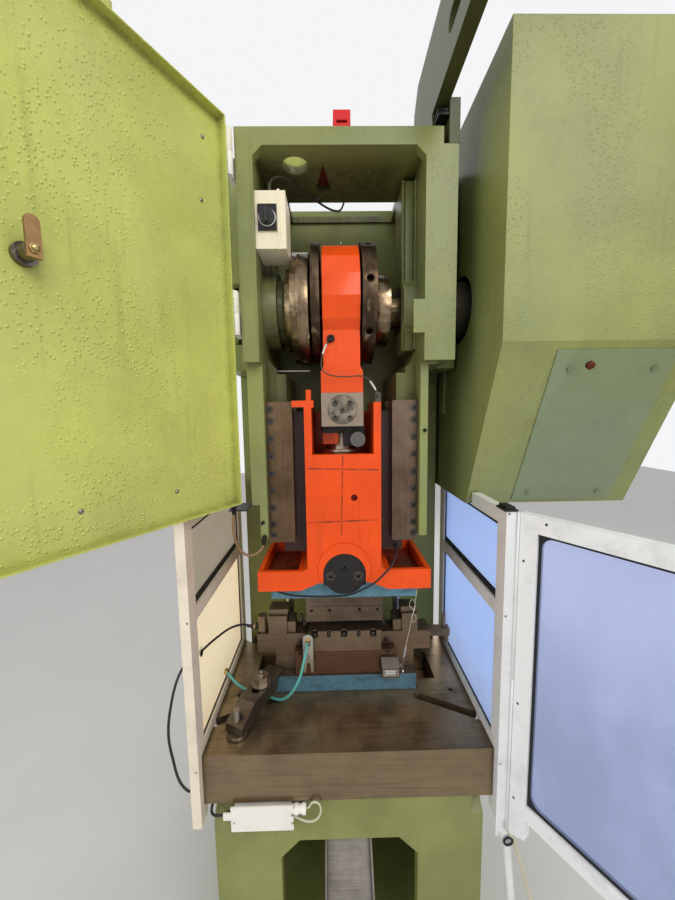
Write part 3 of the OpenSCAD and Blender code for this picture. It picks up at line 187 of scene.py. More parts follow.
def enamel(name, colour, grime_and_shade, gloss=0.34, peel=1.0, drops=0.0, extra=None):
    """Thick machine enamel: orange peel, cloudy tone, dirt and painted shade in corners, runs, small chips
    and a painted highlight along convex edges, and drops of oil that stand on it as beads, each dark at its
    foot as painted shade and bright at its crown as a painted highlight."""
    f = Finish(name)
    cloud = f.noise(3.5, 5.0, 0.6)
    f.tone = f.mix(f.fade(cloud, 0.35, 0.68), scaled(colour, 0.84), scaled(colour, 1.12))
    f.tint(f.clouds(0.45, 0.65, 1.6, 3.0) * 0.3, (colour[0], colour[1], colour[2] * 2.2))
    streak = f.clouds(0.56, 0.8, 1.0, 4.0, 0.6, stretch=(42, 42, 2.2))
    f.tint(streak * 0.25, grime_and_shade)
    # Dirt and painted shade: the enamel is darkened where other faces come near.
    hollow_dirt_and_shade = 1 - f.corner(0.045)
    dirt = f.fade(hollow_dirt_and_shade + (f.noise(26.0, 5.0) - 0.5) * 0.7, 0.25, 0.85)
    f.tint(dirt * 0.8, grime_and_shade)
    speck = f.clouds(0.72, 0.78, 150.0, 2.0)
    f.tint(speck * 0.55, scaled(grime_and_shade, 0.6))
    # Painted highlight: the paint is made lighter along convex edges.
    rim = f.fade(f.edge(0.004) + (f.noise(60.0, 3.0) - 0.5) * 0.5, 0.45, 0.8)
    f.tint(rim * 0.5, scaled(colour, 1.5))
    bumps = f.noise(330.0, 2.0, 0.5) * 0.00016 * peel + f.noise(90.0, 2.0) * 0.0003 * peel
    rough = gloss + cloud * 0.16 + dirt * 0.25
    if drops:
        wet = f.clouds(0.4, 0.58, 4.0, 3.0) * drops
        bead = (1 - f.fade(f.cells(125.0), 0.1, 0.36)) * wet
        # The crown mask marks a painted highlight near the top of each bead.
        crown = (1 - f.fade(f.cells(125.0, at=f.at(move=(0.0, 0.0, -0.0014))), 0.02, 0.24)) * wet
        bumps = bumps + bead * 0.0012
        rough = rough - bead * 0.22
        # Painted shade over each bead, then a painted highlight at its crown.
        f.tint(bead * 0.22, scaled(colour, 0.55))
        f.tint(crown * 0.8, scaled(colour, 1.9))
    if extra is not None:
        extra(f, grime_and_shade)
    return f.wear(Roughness=rough, Normal=f.bump(bumps), Specular_IOR_Level=0.3, Coat_Weight=0.08,
        Coat_Roughness=0.2)


def slide_enamel(name, colour):
    """Brushed-on gloss enamel with oil runs, scribed lines full of dirt, dark trays and bare
    metal at knocked edges, with dirt and painted shade in its corners and its wings painted nearly black as
    shade."""
    f = Finish(name)
    x, y, z = f.axes()
    brush = f.noise(1.0, 4.0, 0.6, stretch=(240, 240, 16))
    cloud = f.noise(12.0, 4.0)
    f.tone = f.mix(f.fade(cloud, 0.3, 0.7), scaled(colour, 0.88), colour)
    f.tint(f.fade(brush, 0.5, 0.75) * 0.3, (1.0, 0.16, 0.004))
    run = f.clouds(0.56, 0.8, 1.0, 5.0, 0.65, stretch=(70, 70, 4))
    f.tint(run * 0.45, (0.3, 0.03, 0.003))
    # Dirt and painted shade: the enamel is darkened where other faces come near.
    hollow_dirt_and_shade = 1 - f.corner(0.04)
    dirt = f.fade(hollow_dirt_and_shade + (f.noise(40.0, 5.0) - 0.5) * 0.6, 0.3, 0.95)
    f.tint(dirt * 0.85, (0.09, 0.012, 0.006))
    break_up = (f.noise(160.0, 3.0) - 0.5) * 0.0022
    front = (y < -0.118) * (1 - f.fade(abs(x), 0.09, 0.094))
    upright = 1 - f.fade(abs(x + 0.0007 - (z - 1.555) * 0.03 + break_up), 0.0004, 0.0026)
    upright = upright * (z > 1.345) * (z < 1.557)
    upper = 1 - f.fade(abs(z - 1.521 + x * 0.033 + break_up), 0.0006, 0.0032)
    lower = 1 - f.fade(abs(z - 1.382 - x * 0.026 + break_up), 0.0006, 0.004)
    line = upright.high(upper.high(lower)) * front
    line = line * (f.clouds(0.3, 0.62, 45.0, 4.0) * 0.65 + 0.25)
    f.tint(line, (0.16, 0.022, 0.008))
    # Painted shade: the wings beside the gibs are painted nearly black, for the shadow they lie in.
    wing_shade = (abs(x) > 0.0996) * (z > 1.262) * (z < 1.684)
    f.tint(wing_shade * 0.98, f.mix(run, (0.022, 0.013, 0.009), (0.07, 0.04, 0.028)))
    tray = f.upward() * (z < 1.243) * (y > -0.122)
    oil = f.clouds(0.3, 0.6, 30.0, 5.0, 0.65)
    f.tint(tray * (oil * 0.25 + 0.72), (0.07, 0.012, 0.008))
    knocked = f.fade(f.edge(0.003) + (f.noise(45.0, 4.0) - 0.5) * 1.2, 0.85, 1.05)
    f.tint(knocked * 0.8, (0.55, 0.48, 0.42))
    return f.wear(Roughness=0.3 + cloud * 0.12 + dirt * 0.2 - tray * 0.1, Metallic=knocked * 0.8,
        Normal=f.bump(brush * 0.0004 + f.noise(60.0, 3.0) * 0.0004 - line * 0.0008), Specular_IOR_Level=0.35,
        Coat_Weight=0.12, Coat_Roughness=0.12)


def shoe_enamel(name, colour):
    """Thin matt paint on a die shoe, smeared with dark oil and scratched to the steel."""
    f = Finish(name)
    smear = f.clouds(0.46, 0.72, 1.0, 6.0, 0.7, stretch=(18, 30, 55))
    f.tone = f.mix(f.clouds(0.4, 0.7, 60.0, 4.0) * 0.35, colour, scaled(colour, 0.55))
    f.tint(smear * 0.7, (0.03, 0.034, 0.034))
    f.tint(f.upward(), (0.06, 0.04, 0.028))
    nick = f.clouds(0.66, 0.72, 1.0, 4.0, 0.6, stretch=(30, 30, 260))
    f.tint(nick * 0.7, (0.25, 0.4, 0.45))
    rim = f.fade(f.edge(0.003) + (f.noise(70.0, 3.0) - 0.5), 0.7, 1.0)
    f.tint(rim, (0.3, 0.24, 0.18))
    return f.wear(Roughness=0.38 + smear * 0.1, Metallic=rim * 0.7,
        Normal=f.bump(f.noise(120.0, 3.0) * 0.0003))


def oily_steel(name, dark, light, rough=0.32, metal=0.75, grain=(6, 220, 220), side=1.0):
    """Machined steel under an oil film: fine lay along one axis, stains, rubbed bright edges, painted shade
    in its corners and a painted shadow line in tight joints. Its upright faces are painted lighter than its
    upper ones by the factor side, as painted light."""
    f = Finish(name)
    lay = f.noise(1.0, 4.0, 0.6, stretch=grain)
    stain = f.noise(7.0, 6.0, 0.65)
    f.tone = f.mix(f.fade(stain, 0.3, 0.7), dark, light)
    f.tint(f.fade(lay, 0.4, 0.75) * 0.35, scaled(light, 1.35))
    warm = f.clouds(0.5, 0.75, 16.0, 5.0, 0.7)
    f.tint(warm * 0.3, (0.16, 0.075, 0.03))
    # Painted light: upright faces get a lighter copy of the tone than upper ones.
    if side != 1.0:
        lit_flank = f.mix(f.fade(stain, 0.3, 0.7), scaled(light, side * 0.7), scaled(light, side))
        lit_flank = f.mix(f.fade(lay, 0.45, 0.75) * 0.4, lit_flank, scaled(dark, side))
        f.tone = f.mix(f.upward(), lit_flank, f.tone)
    rim = f.fade(f.edge(0.0025) + (f.noise(80.0, 3.0) - 0.5) * 0.8, 0.5, 0.9)
    f.tint(rim * 0.8, scaled(light, 2.4))
    # Painted shade in corners, and a painted shadow line where faces meet closely.
    hollow_dirt_and_shade = f.joints(0.03, 0.3, 0.9)
    f.tint(hollow_dirt_and_shade * 0.6, scaled(dark, 0.45))
    f.tint(f.joints(0.007, 0.12, 0.5) * 0.85, scaled(dark, 0.2))
    return f.wear(Metallic=metal, Roughness=rough + stain * 0.2 - rim * 0.1,
        Normal=f.bump(lay * 0.00008 + f.noise(38.0, 3.0) * 0.00008))


def turned_steel(name, colour, rough, centre, shine=1.0):
    """Steel turned about an axis along X: rings on the faces and round the rims, and bright and dark bands
    that follow each other round it, which are painted reflections."""
    f = Finish(name)
    x, y, z = f.axes()
    y, z = y - centre[0], z - centre[1]
    radius = (y * y + z * z) ** 0.5
    ring = f.noise(1.0, 4.0, 0.7, at=f.vector(x * 700.0, radius * 700.0, 0.0))
    round_it = f.node("ShaderNodeMath", {"operation": "ARCTAN2"}, {0: z, 1: y * -1.0})
    band = f.noise(1.0, 2.0, 0.5, at=f.vector(x * 26.0, round_it * 2.6, radius * 12.0))
    blotch = f.noise(14.0, 5.0, 0.65)
    f.tone = f.mix(f.fade(ring, 0.3, 0.75), scaled(colour, 0.6), colour)
    f.tint(f.fade(blotch, 0.45, 0.75) * 0.5, (0.11, 0.06, 0.028))
    # Painted reflections: dark and bright bands at fixed angles round the axis.
    f.tint(f.fade(band, 0.4, 0.52) * 0.75, scaled(colour, 0.35))
    f.tint(f.fade(band, 0.62, 0.7) * shine, (0.85, 0.68, 0.42))
    return f.wear(Metallic=1.0, Roughness=rough + blotch * 0.16, Normal=f.bump(ring * 0.00004))


def plain_metal(name, colour, rough, metal=1.0, mottle=0.25, rubbed=1.9):
    """Small steel or bronze parts: even tone with finger marks, and dust with painted shade in the corners.
    """
    f = Finish(name)
    spot = f.noise(60.0, 4.0, 0.6)
    f.tone = f.mix(f.fade(spot, 0.35, 0.75) * mottle, colour, scaled(colour, 0.45))
    rim = f.fade(f.edge(0.0015) + (f.noise(150.0, 3.0) - 0.5) * 0.6, 0.5, 0.9)
    f.tint(rim * 0.6, scaled(colour, rubbed))
    # Dust and painted shade: darker where other faces come near.
    f.tint(f.joints(0.006, 0.25, 0.8) * 0.7, scaled(colour, 0.2))
    return f.wear(Metallic=metal, Roughness=rough + spot * 0.14, Normal=f.bump(f.noise(240.0, 2.0) * 0.00006))


def cover_metal(name, colour):
    """The ground round cover: bright oily steel, with darker screws at its corners and middle, and painted
    shade in its joints.
    """
    f = Finish(name)
    x, y, z = f.axes()
    z = z - 1.672
    spot = f.noise(40.0, 4.0, 0.6)
    f.tone = f.mix(f.fade(spot, 0.35, 0.7), scaled(colour, 0.45), scaled(colour, 1.2))
    across, along = abs(x) - 0.019, abs(z) - 0.019
    outer = (across * across + along * along) ** 0.5
    middle = (x * x + z * z) ** 0.5
    head = 1 - f.fade(outer.low(middle + 0.001), 0.0078, 0.0084)
    f.tint(head * 0.8, (0.075, 0.062, 0.05))
    # Painted shade: nearly black where other faces come near.
    f.tint(f.joints(0.006, 0.2, 0.7) * 0.85, (0.012, 0.01, 0.008))
    rim = f.fade(f.edge(0.0015), 0.35, 0.8)
    f.tint(rim * 0.6, scaled(colour, 2.2))
    return f.wear(Metallic=1.0, Roughness=0.2 + spot * 0.16)


def collar_paint(f, grime_and_shade):
    """Orange on the adjuster's left block, which is painted as the rod is."""
    x, y, z = f.axes()
    brush = f.clouds(0.35, 0.65, 1.0, 4.0, 0.6, stretch=(260, 260, 16))
    orange = f.mix(brush, (0.3, 0.03, 0.004), (0.62, 0.075, 0.006))
    f.tint((x < -0.0098) * (z < 1.6128), orange)


def profile_metal(name, colour):
    """Anodised guard profile: drawn along its length, with rubbed marks, and grey dirt with painted shade in
    its corners.
    """
    f = Finish(name)
    drawn = f.noise(1.0, 3.0, 0.5, stretch=(500, 500, 5))
    smudge = f.noise(11.0, 6.0, 0.7)
    f.tone = f.mix(f.fade(smudge, 0.45, 0.75) * 0.5, colour, scaled(colour, 0.6))
    # Dirt and painted shade: darker where other faces come near.
    hollow_dirt_and_shade = f.joints(0.02, 0.35, 0.9)
    f.tint(hollow_dirt_and_shade * 0.45, (0.16, 0.14, 0.115))
    return f.wear(Metallic=0.08, Roughness=0.4 + smudge * 0.2, Normal=f.bump(drawn * 0.00004))


def clear_plastic(name, colour, clear):
    """Clear plastic of a hose, with wrinkles, bubbles and a milky tint."""
    f = Finish(name)
    crease = f.noise(1.0, 5.0, 0.6, stretch=(14, 14, 3))
    bubble = 1 - f.fade(f.cells(22.0), 0.03, 0.12)
    f.tone = f.mix(f.fade(crease, 0.35, 0.7), scaled(colour, 0.9), scaled(colour, 1.1))
    f.tint(bubble * 0.3, scaled(colour, 1.3))
    return f.wear(Roughness=0.3 + crease * 0.15, Alpha=clear, Normal=f.bump(crease * 0.003 + bubble * 0.0004))


def side_sheets(name, blue, cream, grey):
    """Guard sheets at the sides: blue film on the right, cream below and grey above on the left; they glow
    faintly in their own tone, painted light for light coming through them.
    """
    f = Finish(name)
    x, y, z = f.axes()
    crease = f.noise(1.0, 5.0, 0.6, stretch=(14, 14, 3))
    dust = f.noise(24.0, 6.0, 0.7)
    f.tone = f.mix(z > 1.209, cream, grey)
    f.tint(x > 0, blue)
    f.tint(f.fade(dust, 0.45, 0.75) * 0.15, (0.72, 0.7, 0.66))
    low = 1 - f.fade(z + (dust - 0.5) * 0.3, 0.9, 1.02)
    f.tint(low * 0.25, (0.4, 0.37, 0.32))
    # Painted light: the sheet glows faintly in its own tone, for light that comes through it.
    return f.wear(Roughness=0.3 + crease * 0.18, Transmission_Weight=0.9, IOR=1.1, Emission_Color=f.tone,
        Emission_Strength=0.19, Normal=f.bump(crease * 0.0025))


def front_sheet(name, dusk, pale):
    """The front guard's sheet: blue-grey film, paler at the top, with bubbles, wipe marks and dust; it glows
    faintly in its own tone, painted light for light coming through it.
    """
    f = Finish(name)
    x, y, z = f.axes()
    wipe = f.noise(5.0, 6.0, 0.65, stretch=(1, 1, 0.5))
    bubble = 1 - f.fade(f.cells(75.0), 0.04, 0.16)
    bubble = bubble * f.clouds(0.5, 0.62, 6.0, 3.0)
    f.tone = f.mix(f.fade(z + (wipe - 0.5) * 0.25, 0.95, 1.4), dusk, pale)
    f.tint(f.fade(wipe, 0.45, 0.7) * 0.35, scaled(pale, 1.1))
    f.tint(bubble * 0.5, (0.75, 0.75, 0.85))
    # Painted light: the sheet glows faintly in its own tone, for light that comes through it.
    return f.wear(Roughness=0.25 + wipe * 0.25, Transmission_Weight=0.9, IOR=1.1, Emission_Color=f.tone,
        Emission_Strength=0.19, Normal=f.bump(wipe * 0.003 + bubble * 0.0005))


def moulded(name, colour, rough=0.45, grime_and_shade=0.5):
    """Moulded plastic: fine grain, yellowed patches, and dirt with painted shade in its joints."""
    f = Finish(name)
    patch = f.noise(18.0, 4.0, 0.6)
    f.tone = f.mix(f.fade(patch, 0.45, 0.8) * 0.35, colour, scaled(colour, 0.72))
    # Dirt and painted shade: darker where other faces come near.
    hollow_dirt_and_shade = f.fade(1 - f.corner(0.012) + (patch - 0.5) * 0.5, 0.3, 0.9)
    f.tint(hollow_dirt_and_shade * grime_and_shade, (0.1, 0.085, 0.06))
    return f.wear(Roughness=rough + patch * 0.12, Normal=f.bump(f.noise(900.0, 2.0) * 0.00005),
        Specular_IOR_Level=0.35)


def crown_dirt_and_shade(f, grime_and_shade):
    """Paint inside the crown made darker, as oil and as painted shade, and the spattered strips beside its
    opening.
    """
    x, y, z = f.axes()
    # Oil and painted shade: the paint inside the crown is darkened for the oil and the shadow in it.
    inside = f.fade(y, -0.155, -0.06) * (1 - f.fade(abs(x), 0.199, 0.203))
    share = inside * (1 - f.fade(z, 2.29, 2.3)) * (0.74 - f.fade(x, 0.12, 0.17) * 0.42)
    wash = f.clouds(0.35, 0.65, 1.0, 5.0, 0.65, stretch=(60, 60, 6))
    f.tint(share * (wash * 0.3 + 0.72), scaled(grime_and_shade, 0.55))
    dots = 1 - f.fade(f.cells(230.0), 0.16, 0.34)
    dots = dots * f.clouds(0.4, 0.6, 12.0, 3.0) * f.fade(x, 0.2, 0.214) * (y < -0.1)
    f.tint(dots * 0.75, grime_and_shade)


def door_dirt(f, grime_and_shade):
    """Ivory on the hinge halves that are welded to the door."""
    x, y, z = f.axes()
    x, y = x + 0.252, y + 0.172
    barrel = 1 - f.fade((x * x + y * y) ** 0.5, 0.0116, 0.0122)
    f.tint(barrel, (0.95, 0.93, 0.74))


def directions(path):
    """Unit vectors along a path, and two square to it that hardly turn: the path's least
    travelled direction gives the first, and the product of both gives the second."""
    ahead = np.gradient(path, axis=0)
    ahead /= np.linalg.norm(ahead, axis=1)[:, None]
    least = np.linalg.svd(ahead, full_matrices=True)[2][-1]
    across = np.cross(ahead, least)
    across /= np.linalg.norm(across, axis=1)[:, None]
    return ahead, across, np.cross(ahead, across)


def smooth(points, step=3.0):
    """Points a step apart on the natural cubic spline through the given ones, whose parameter
    is the distance between them."""
    points = array(points)
    gap = np.linalg.norm(np.diff(points, axis=0), axis=1)
    place = np.concatenate([[0], np.cumsum(gap)])
    count = len(points)
    system = np.eye(count)
    right = np.zeros((count, 3))
    for i in range(1, count - 1):
        system[i, i - 1:i + 2] = gap[i - 1], 2 * (gap[i - 1] + gap[i]), gap[i]
        right[i] = 6 * ((points[i + 1] - points[i]) / gap[i] - (points[i] - points[i - 1]) / gap[i - 1])
    bend = np.linalg.solve(system, right)
    at = np.linspace(0, place[-1], int(place[-1] / step) + 2)
    i = np.clip(np.searchsorted(place, at, side="right") - 1, 0, count - 2)
    h, low, high = gap[i][:, None], (place[i + 1] - at)[:, None], (at - place[i])[:, None]
    return (bend[i] * low**3 + bend[i + 1] * high**3) / (6 * h) + (points[i] / h
        - bend[i] * h / 6) * low + (points[i + 1] / h - bend[i + 1] * h / 6) * high


def helix(start, end, radius, turns):
    """A coil round the line from start to end: the line's point plus the radius turned by the
    angle, which grows evenly along the line."""
    start, end = array(start), array(end)
    line = np.linspace(start, end, turns * 14)
    axis = (end - start) / np.linalg.norm(end - start)
    across, up = square_to(axis)
    angle = np.linspace(0, 2 * np.pi * turns, len(line))[:, None]
    return line + radius * (np.cos(angle) * across + np.sin(angle) * up)


def square_to(axis):
    """Two unit vectors square to an axis and to each other."""
    axis = array(axis) / np.linalg.norm(axis)
    other = np.eye(3)[np.argmin(abs(axis))]
    across = np.cross(axis, other)
    across /= np.linalg.norm(across)
    return across, np.cross(axis, across)


def rounded(x0, y0, x1, y1, radius, steps=6):
    """Outline of a rectangle whose corners are quarter circles of the given radius."""
    turn = np.linspace(0, np.pi / 2, steps)
    corners = [(x1 - radius, y1 - radius, 0), (x0 + radius, y1 - radius, 1),
        (x0 + radius, y0 + radius, 2), (x1 - radius, y0 + radius, 3)]
    arcs = [(x + radius * np.cos(turn + k * np.pi / 2), y + radius * np.sin(turn + k * np.pi / 2))
        for x, y, k in corners]
    return np.concatenate([np.stack(arc, -1) for arc in arcs])


def circle(x, y, radius, steps=32):
    """Outline of a circle."""
    turn = np.linspace(0, 2 * np.pi, steps, endpoint=False)
    return np.stack([x + radius * np.cos(turn), y + radius * np.sin(turn)], -1)


def soft_edges(obj, width, degrees):
    """Rounds the edges of an object that are sharper than an angle."""
    edge = obj.modifiers.new("soft edges", "BEVEL")
    edge.width, edge.segments = width, 2
    edge.limit_method, edge.angle_limit = "ANGLE", math.radians(degrees)
    return edge


class Form:
    """Points and faces of one new piece, gathered part by part in millimetres."""

    def __init__(self):
        self.points, self.faces, self.total = [], [], 0

    def add(self, points, faces):
        """Takes in one more part."""
        points = points.reshape(-1, 3)
        self.faces += [[i + self.total for i in face] for face in faces]
        self.points.append(points)
        self.total += len(points)

    def rings(self, rows):
        """A skin over closed rings, row after row, whose ends a middle point closes."""
        count, turns = rows.shape[:2]
        row, turn = np.meshgrid(np.arange(count - 1), np.arange(turns), indexing="ij")
        near, far = row * turns + turn, row * turns + (turn + 1) % turns
        quads = np.stack([near, far, far + turns, near + turns], -1).reshape(-1, 4)
        here = np.arange(turns)
        after = (here + 1) % turns
        last = count * turns
        low = np.stack([np.full(turns, last), after, here], -1)
        high = np.stack([np.full(turns, last + 1), here + last - turns, after + last - turns], -1)
        points = np.concatenate([rows.reshape(-1, 3), [rows[0].mean(0), rows[-1].mean(0)]])
        self.add(points, [*quads.tolist(), *low.tolist(), *high.tolist()])
        return self

    def tube(self, path, radius, sides=10):
        """A round skin along a path: path + radius (cos v across + sin v up)."""
        path = array(path)
        across, up = directions(path)[1:]
        v = np.linspace(0, 2 * np.pi, sides, endpoint=False)[None, :, None]
        ring = np.cos(v) * across[:, None] + np.sin(v) * up[:, None]
        size = np.broadcast_to(radius, len(path))[:, None, None]
        return self.rings(path[:, None] + size * ring)

    def turned(self, profile, base, axis, sides=36):
        """A turned form: base + h axis + r f(a) (cos a across + sin a up), with f a circle for
        0 teeth, a hexagon for 6 and a knurl for more. The profile's rows are h, r, teeth."""
        axis = array(axis) / np.linalg.norm(axis)
        across, up = square_to(axis)
        h, r, teeth = (array(column)[:, None] for column in zip(*profile))
        a = np.linspace(0, 2 * np.pi, sides, endpoint=False)[None]
        flat = math.cos(math.pi / 6) / np.cos(a % (math.pi / 3) - math.pi / 6)
        shape = np.where(teeth == 6, flat, np.where(teeth > 6, 1 + 0.04 * np.cos(teeth * a), 1.0))
        spoke = np.cos(a)[..., None] * across + np.sin(a)[..., None] * up
        return self.rings(array(base) + h[..., None] * axis + (r * shape)[..., None] * spoke)

    def socket_screw(self, base, axis, radius, height):
        """A socket head: a chamfered, finely knurled cylinder with a hexagonal hole."""
        hole = radius * 0.56
        return self.turned([(0, radius * 0.97, 0), (height * 0.12, radius, 30), (height * 0.8, radius, 30),
            (height * 0.92, radius * 0.95, 0), (height, radius * 0.86, 0), (height, hole, 6),
            (height * 0.5, hole, 6)], base, axis)

    def prism(self, outline, base, across, up, depth):
        """A flat outline, base + x across + y up, and its copy lifted by depth, with sides."""
        across, up = array(across), array(up)
        flat = array(base) + outline[:, :1] * across + outline[:, 1:] * up
        lifted = flat + depth * np.cross(across, up)
        n = len(flat)
        sides = [(i, (i + 1) % n, (i + 1) % n + n, i + n) for i in range(n)]
        self.add(np.concatenate([flat, lifted]), [list(range(n))[::-1], list(range(n, 2 * n)), *sides])
        return self

    def band(self, outer, inner, base, depth, across=RIGHT, up=UP):
        """A flat ring between two outlines of the same count, lifted by depth all round."""
        across, up = array(across), array(up)
        lift = depth * np.cross(across, up)
        loops = [array(base) + loop[:, :1] * across + loop[:, 1:] * up + share * lift
            for loop, share in ((outer, 0), (inner, 0), (inner, 1), (outer, 1))]
        n = len(outer)
        row, turn = np.meshgrid(np.arange(4), np.arange(n), indexing="ij")
        after, below = (turn + 1) % n, (row + 1) % 4
        quads = np.stack([row * n + turn, row * n + after, below * n + after, below * n + turn], -1)
        self.add(np.stack(loops), quads.reshape(-1, 4).tolist())
        return self

    def slab(self, low, high):
        """A flat plate between two corners."""
        (x0, y0, z0), (x1, y1, z1) = low, high
        outline = array([(x0, y0), (x1, y0), (x1, y1), (x0, y1)])
        return self.prism(outline, (0, 0, z0), (1, 0, 0), (0, 1, 0), z1 - z0)

    def make(self, name, body, material, bevel=0.0, swing=None):
        """Turns the parts into one object that rides on a body, with its faces outwards."""
        points = np.concatenate(self.points)
        if swing is not None:
            points = swing(points)
        mesh = bpy.data.meshes.new(name)
        mesh.from_pydata((points * 0.001).tolist(), [], self.faces)
        work = bmesh.new()
        work.from_mesh(mesh)
        bmesh.ops.recalc_face_normals(work, faces=work.faces)
        work.to_mesh(mesh)
        work.free()
        mesh.shade_smooth()
        mesh.set_sharp_from_angle(angle=math.radians(34))
        mesh.materials.append(material)
        obj = bpy.data.objects.new(name, mesh)
        bpy.context.scene.collection.objects.link(obj)
        if bevel:
            soft_edges(obj, bevel, 40)
        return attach(obj, body)


def turned_about(points, hinge, degrees):
    """Points turned about an upright hinge."""
    turn = math.radians(degrees)
    x, y = points[:, 0] - hinge[0], points[:, 1] - hinge[1]
    across = hinge[0] + x * math.cos(turn) - y * math.sin(turn)
    along = hinge[1] + x * math.sin(turn) + y * math.cos(turn)
    return np.stack([across, along, points[:, 2]], -1)


def guard_swing(points):
    """Points of the closed front guard in their open rest pose."""
    return turned_about(points, GUARD_HINGE, GUARD_OPEN)


def colour_property(name, description, colour):
    """A colour that the panel shows."""
    return bpy.props.FloatVectorProperty(name=name, description=description, subtype="COLOR", size=3,
        default=colour, min=0.0, max=1.0)


class PressColours(bpy.types.PropertyGroup):
    """Paint and metal colours of the press."""

    frame_green: colour_property("Frame green", "Enamel of the frame and guards", (0.27, 0.294, 0.09))
    door_green: colour_property("Door green", "Inside of the crown door", (0.54, 0.575, 0.135))
    slide_orange: colour_property("Slide orange", "Enamel of the rod and the slide", (0.98, 0.088, 0.002))
    shoe_blue: colour_property("Shoe blue", "Paint of the die set's shoes", (0.085, 0.2, 0.26))
    film_blue: colour_property("Film blue", "Sheets of the right guard", (0.47, 0.62, 0.98))
    film_cream: colour_property("Film cream", "Lower sheet of the left guard", (0.96, 0.84, 0.62))
    film_grey: colour_property("Film grey", "Upper sheet of the left guard", (0.45, 0.4, 0.31))
    film_dusk: colour_property("Film dusk", "Lower part of the front guard's sheet", (0.36, 0.42, 0.62))
    film_pale: colour_property("Film pale", "Upper part of the front guard's sheet", (0.51, 0.57, 0.82))


class PressStage(bpy.types.PropertyGroup):
    """Camera, floor and lamps."""

    camera_place: bpy.props.FloatVectorProperty(name="Camera", description="Where the camera stands",
        subtype="TRANSLATION", unit="LENGTH", size=3, default=(-0.02803, -1.03527, 1.66713))
    lens: bpy.props.FloatProperty(name="Lens", description="Focal length in millimetres on a 36 mm long side",
        default=14.146, min=5.0, max=200.0)
    look: bpy.props.FloatVectorProperty(name="Look",
        description="Turn right, tilt down and roll of the camera", subtype="EULER", unit="ROTATION", size=3,
        default=(math.radians(0.874), math.radians(5.956), math.radians(0.838)))
    key_power: bpy.props.FloatProperty(name="Key lamp", description="Power of the large lamp", default=70.0,
        min=0.0, unit="POWER")
    fill_power: bpy.props.FloatProperty(name="Fill lamp", description="Power of the side lamp", default=30.0,
        min=0.0, unit="POWER")
    sky: bpy.props.FloatProperty(name="Sky", description="Light that comes from everywhere", default=0.67,
        min=0.0, max=2.0)


PAINT_EDGE, STEEL_EDGE = 0.0012, 0.0008


def dress(material, *nodes, bevel=PAINT_EDGE):
    """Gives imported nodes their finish, and softens their edges without touching their meshes."""
    for node in nodes:
        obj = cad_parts[node]
        obj.data.materials.clear()
        obj.data.materials.append(material)
        if bevel:
            obj.modifiers.new("joined corners", "WELD").merge_threshold = 0.00001
            soft_edges(obj, bevel, 38).harden_normals = True


class PRESS_OT_camera(bpy.types.Operator):
    """Stand the camera where a person at the press would stand"""

    bl_idname = "press.camera"
    bl_label = "Camera"

    def execute(self, context):
        values = context.scene.press_stage
        yaw, pitch, roll = values.look
        ahead = np.array([math.sin(yaw) * math.cos(pitch), math.cos(yaw) * math.cos(pitch), -math.sin(pitch)])
        right = np.array([math.cos(yaw), -math.sin(yaw), 0.0])
        down = np.cross(ahead, right)
        across = math.cos(roll) * right + math.sin(roll) * down
        below = -math.sin(roll) * right + math.cos(roll) * down
        camera = bpy.data.objects.new("camera", bpy.data.cameras.new("camera"))
        context.scene.collection.objects.link(camera)
        turn = Matrix(np.array([across, -below, -ahead]).T.tolist()).to_4x4()
        camera.matrix_world = Matrix.Translation(values.camera_place) @ turn
        camera.data.sensor_width = 36.0
        camera.data.lens = values.lens
        camera.data.clip_start = 0.02
        context.scene.camera = camera
        return {"FINISHED"}


class PRESS_OT_paint(bpy.types.Operator):
    """Give the painted castings, weldments and sheet parts their enamel"""

    bl_idname = "press.paint"
    bl_label = "Paint"

    def execute(self, context):
        c = context.scene.press_colours
        green, grime_and_shade = tuple(c.frame_green), (0.05, 0.045, 0.014)
        dress(enamel("frame_enamel", scaled(green, 0.92), grime_and_shade), "frame")
        dress(enamel("guard_enamel", green, grime_and_shade, drops=0.7), "flywheel_guard")
        dress(enamel("hatch_enamel", (0.205, 0.245, 0.125), grime_and_shade, drops=0.3), "guard_hatch")
        dress(enamel("crown_enamel", green, grime_and_shade, gloss=0.24, peel=1.8, extra=crown_dirt_and_shade), "crown_housing",
            "shaft_cover")
        dress(enamel("door_enamel", tuple(c.door_green), (0.14, 0.13, 0.03), drops=1.0, extra=door_dirt),
            "crown_door")
        # Painted shade: the overhead arm gets a dark copy of the frame green, for the shade it stands in.
        dress(enamel("arm_shade_enamel", scaled(green, 0.28), grime_and_shade), "overhead_arm")
        dress(slide_enamel("slide_enamel", tuple(c.slide_orange)), "rod", "slide")
        # Painted light: one shoe blue in two copies, darker for the lower shoe and lighter for the upper one.
        dress(shoe_enamel("shoe_enamel", scaled(c.shoe_blue, 0.9)), "lower_shoe")
        dress(shoe_enamel("upper_shoe_lit_enamel", scaled(c.shoe_blue, 1.5)), "upper_shoe")
        dress(enamel("hinge_enamel", (0.95, 0.93, 0.74), grime_and_shade), "door_hinges")
        return {"FINISHED"}


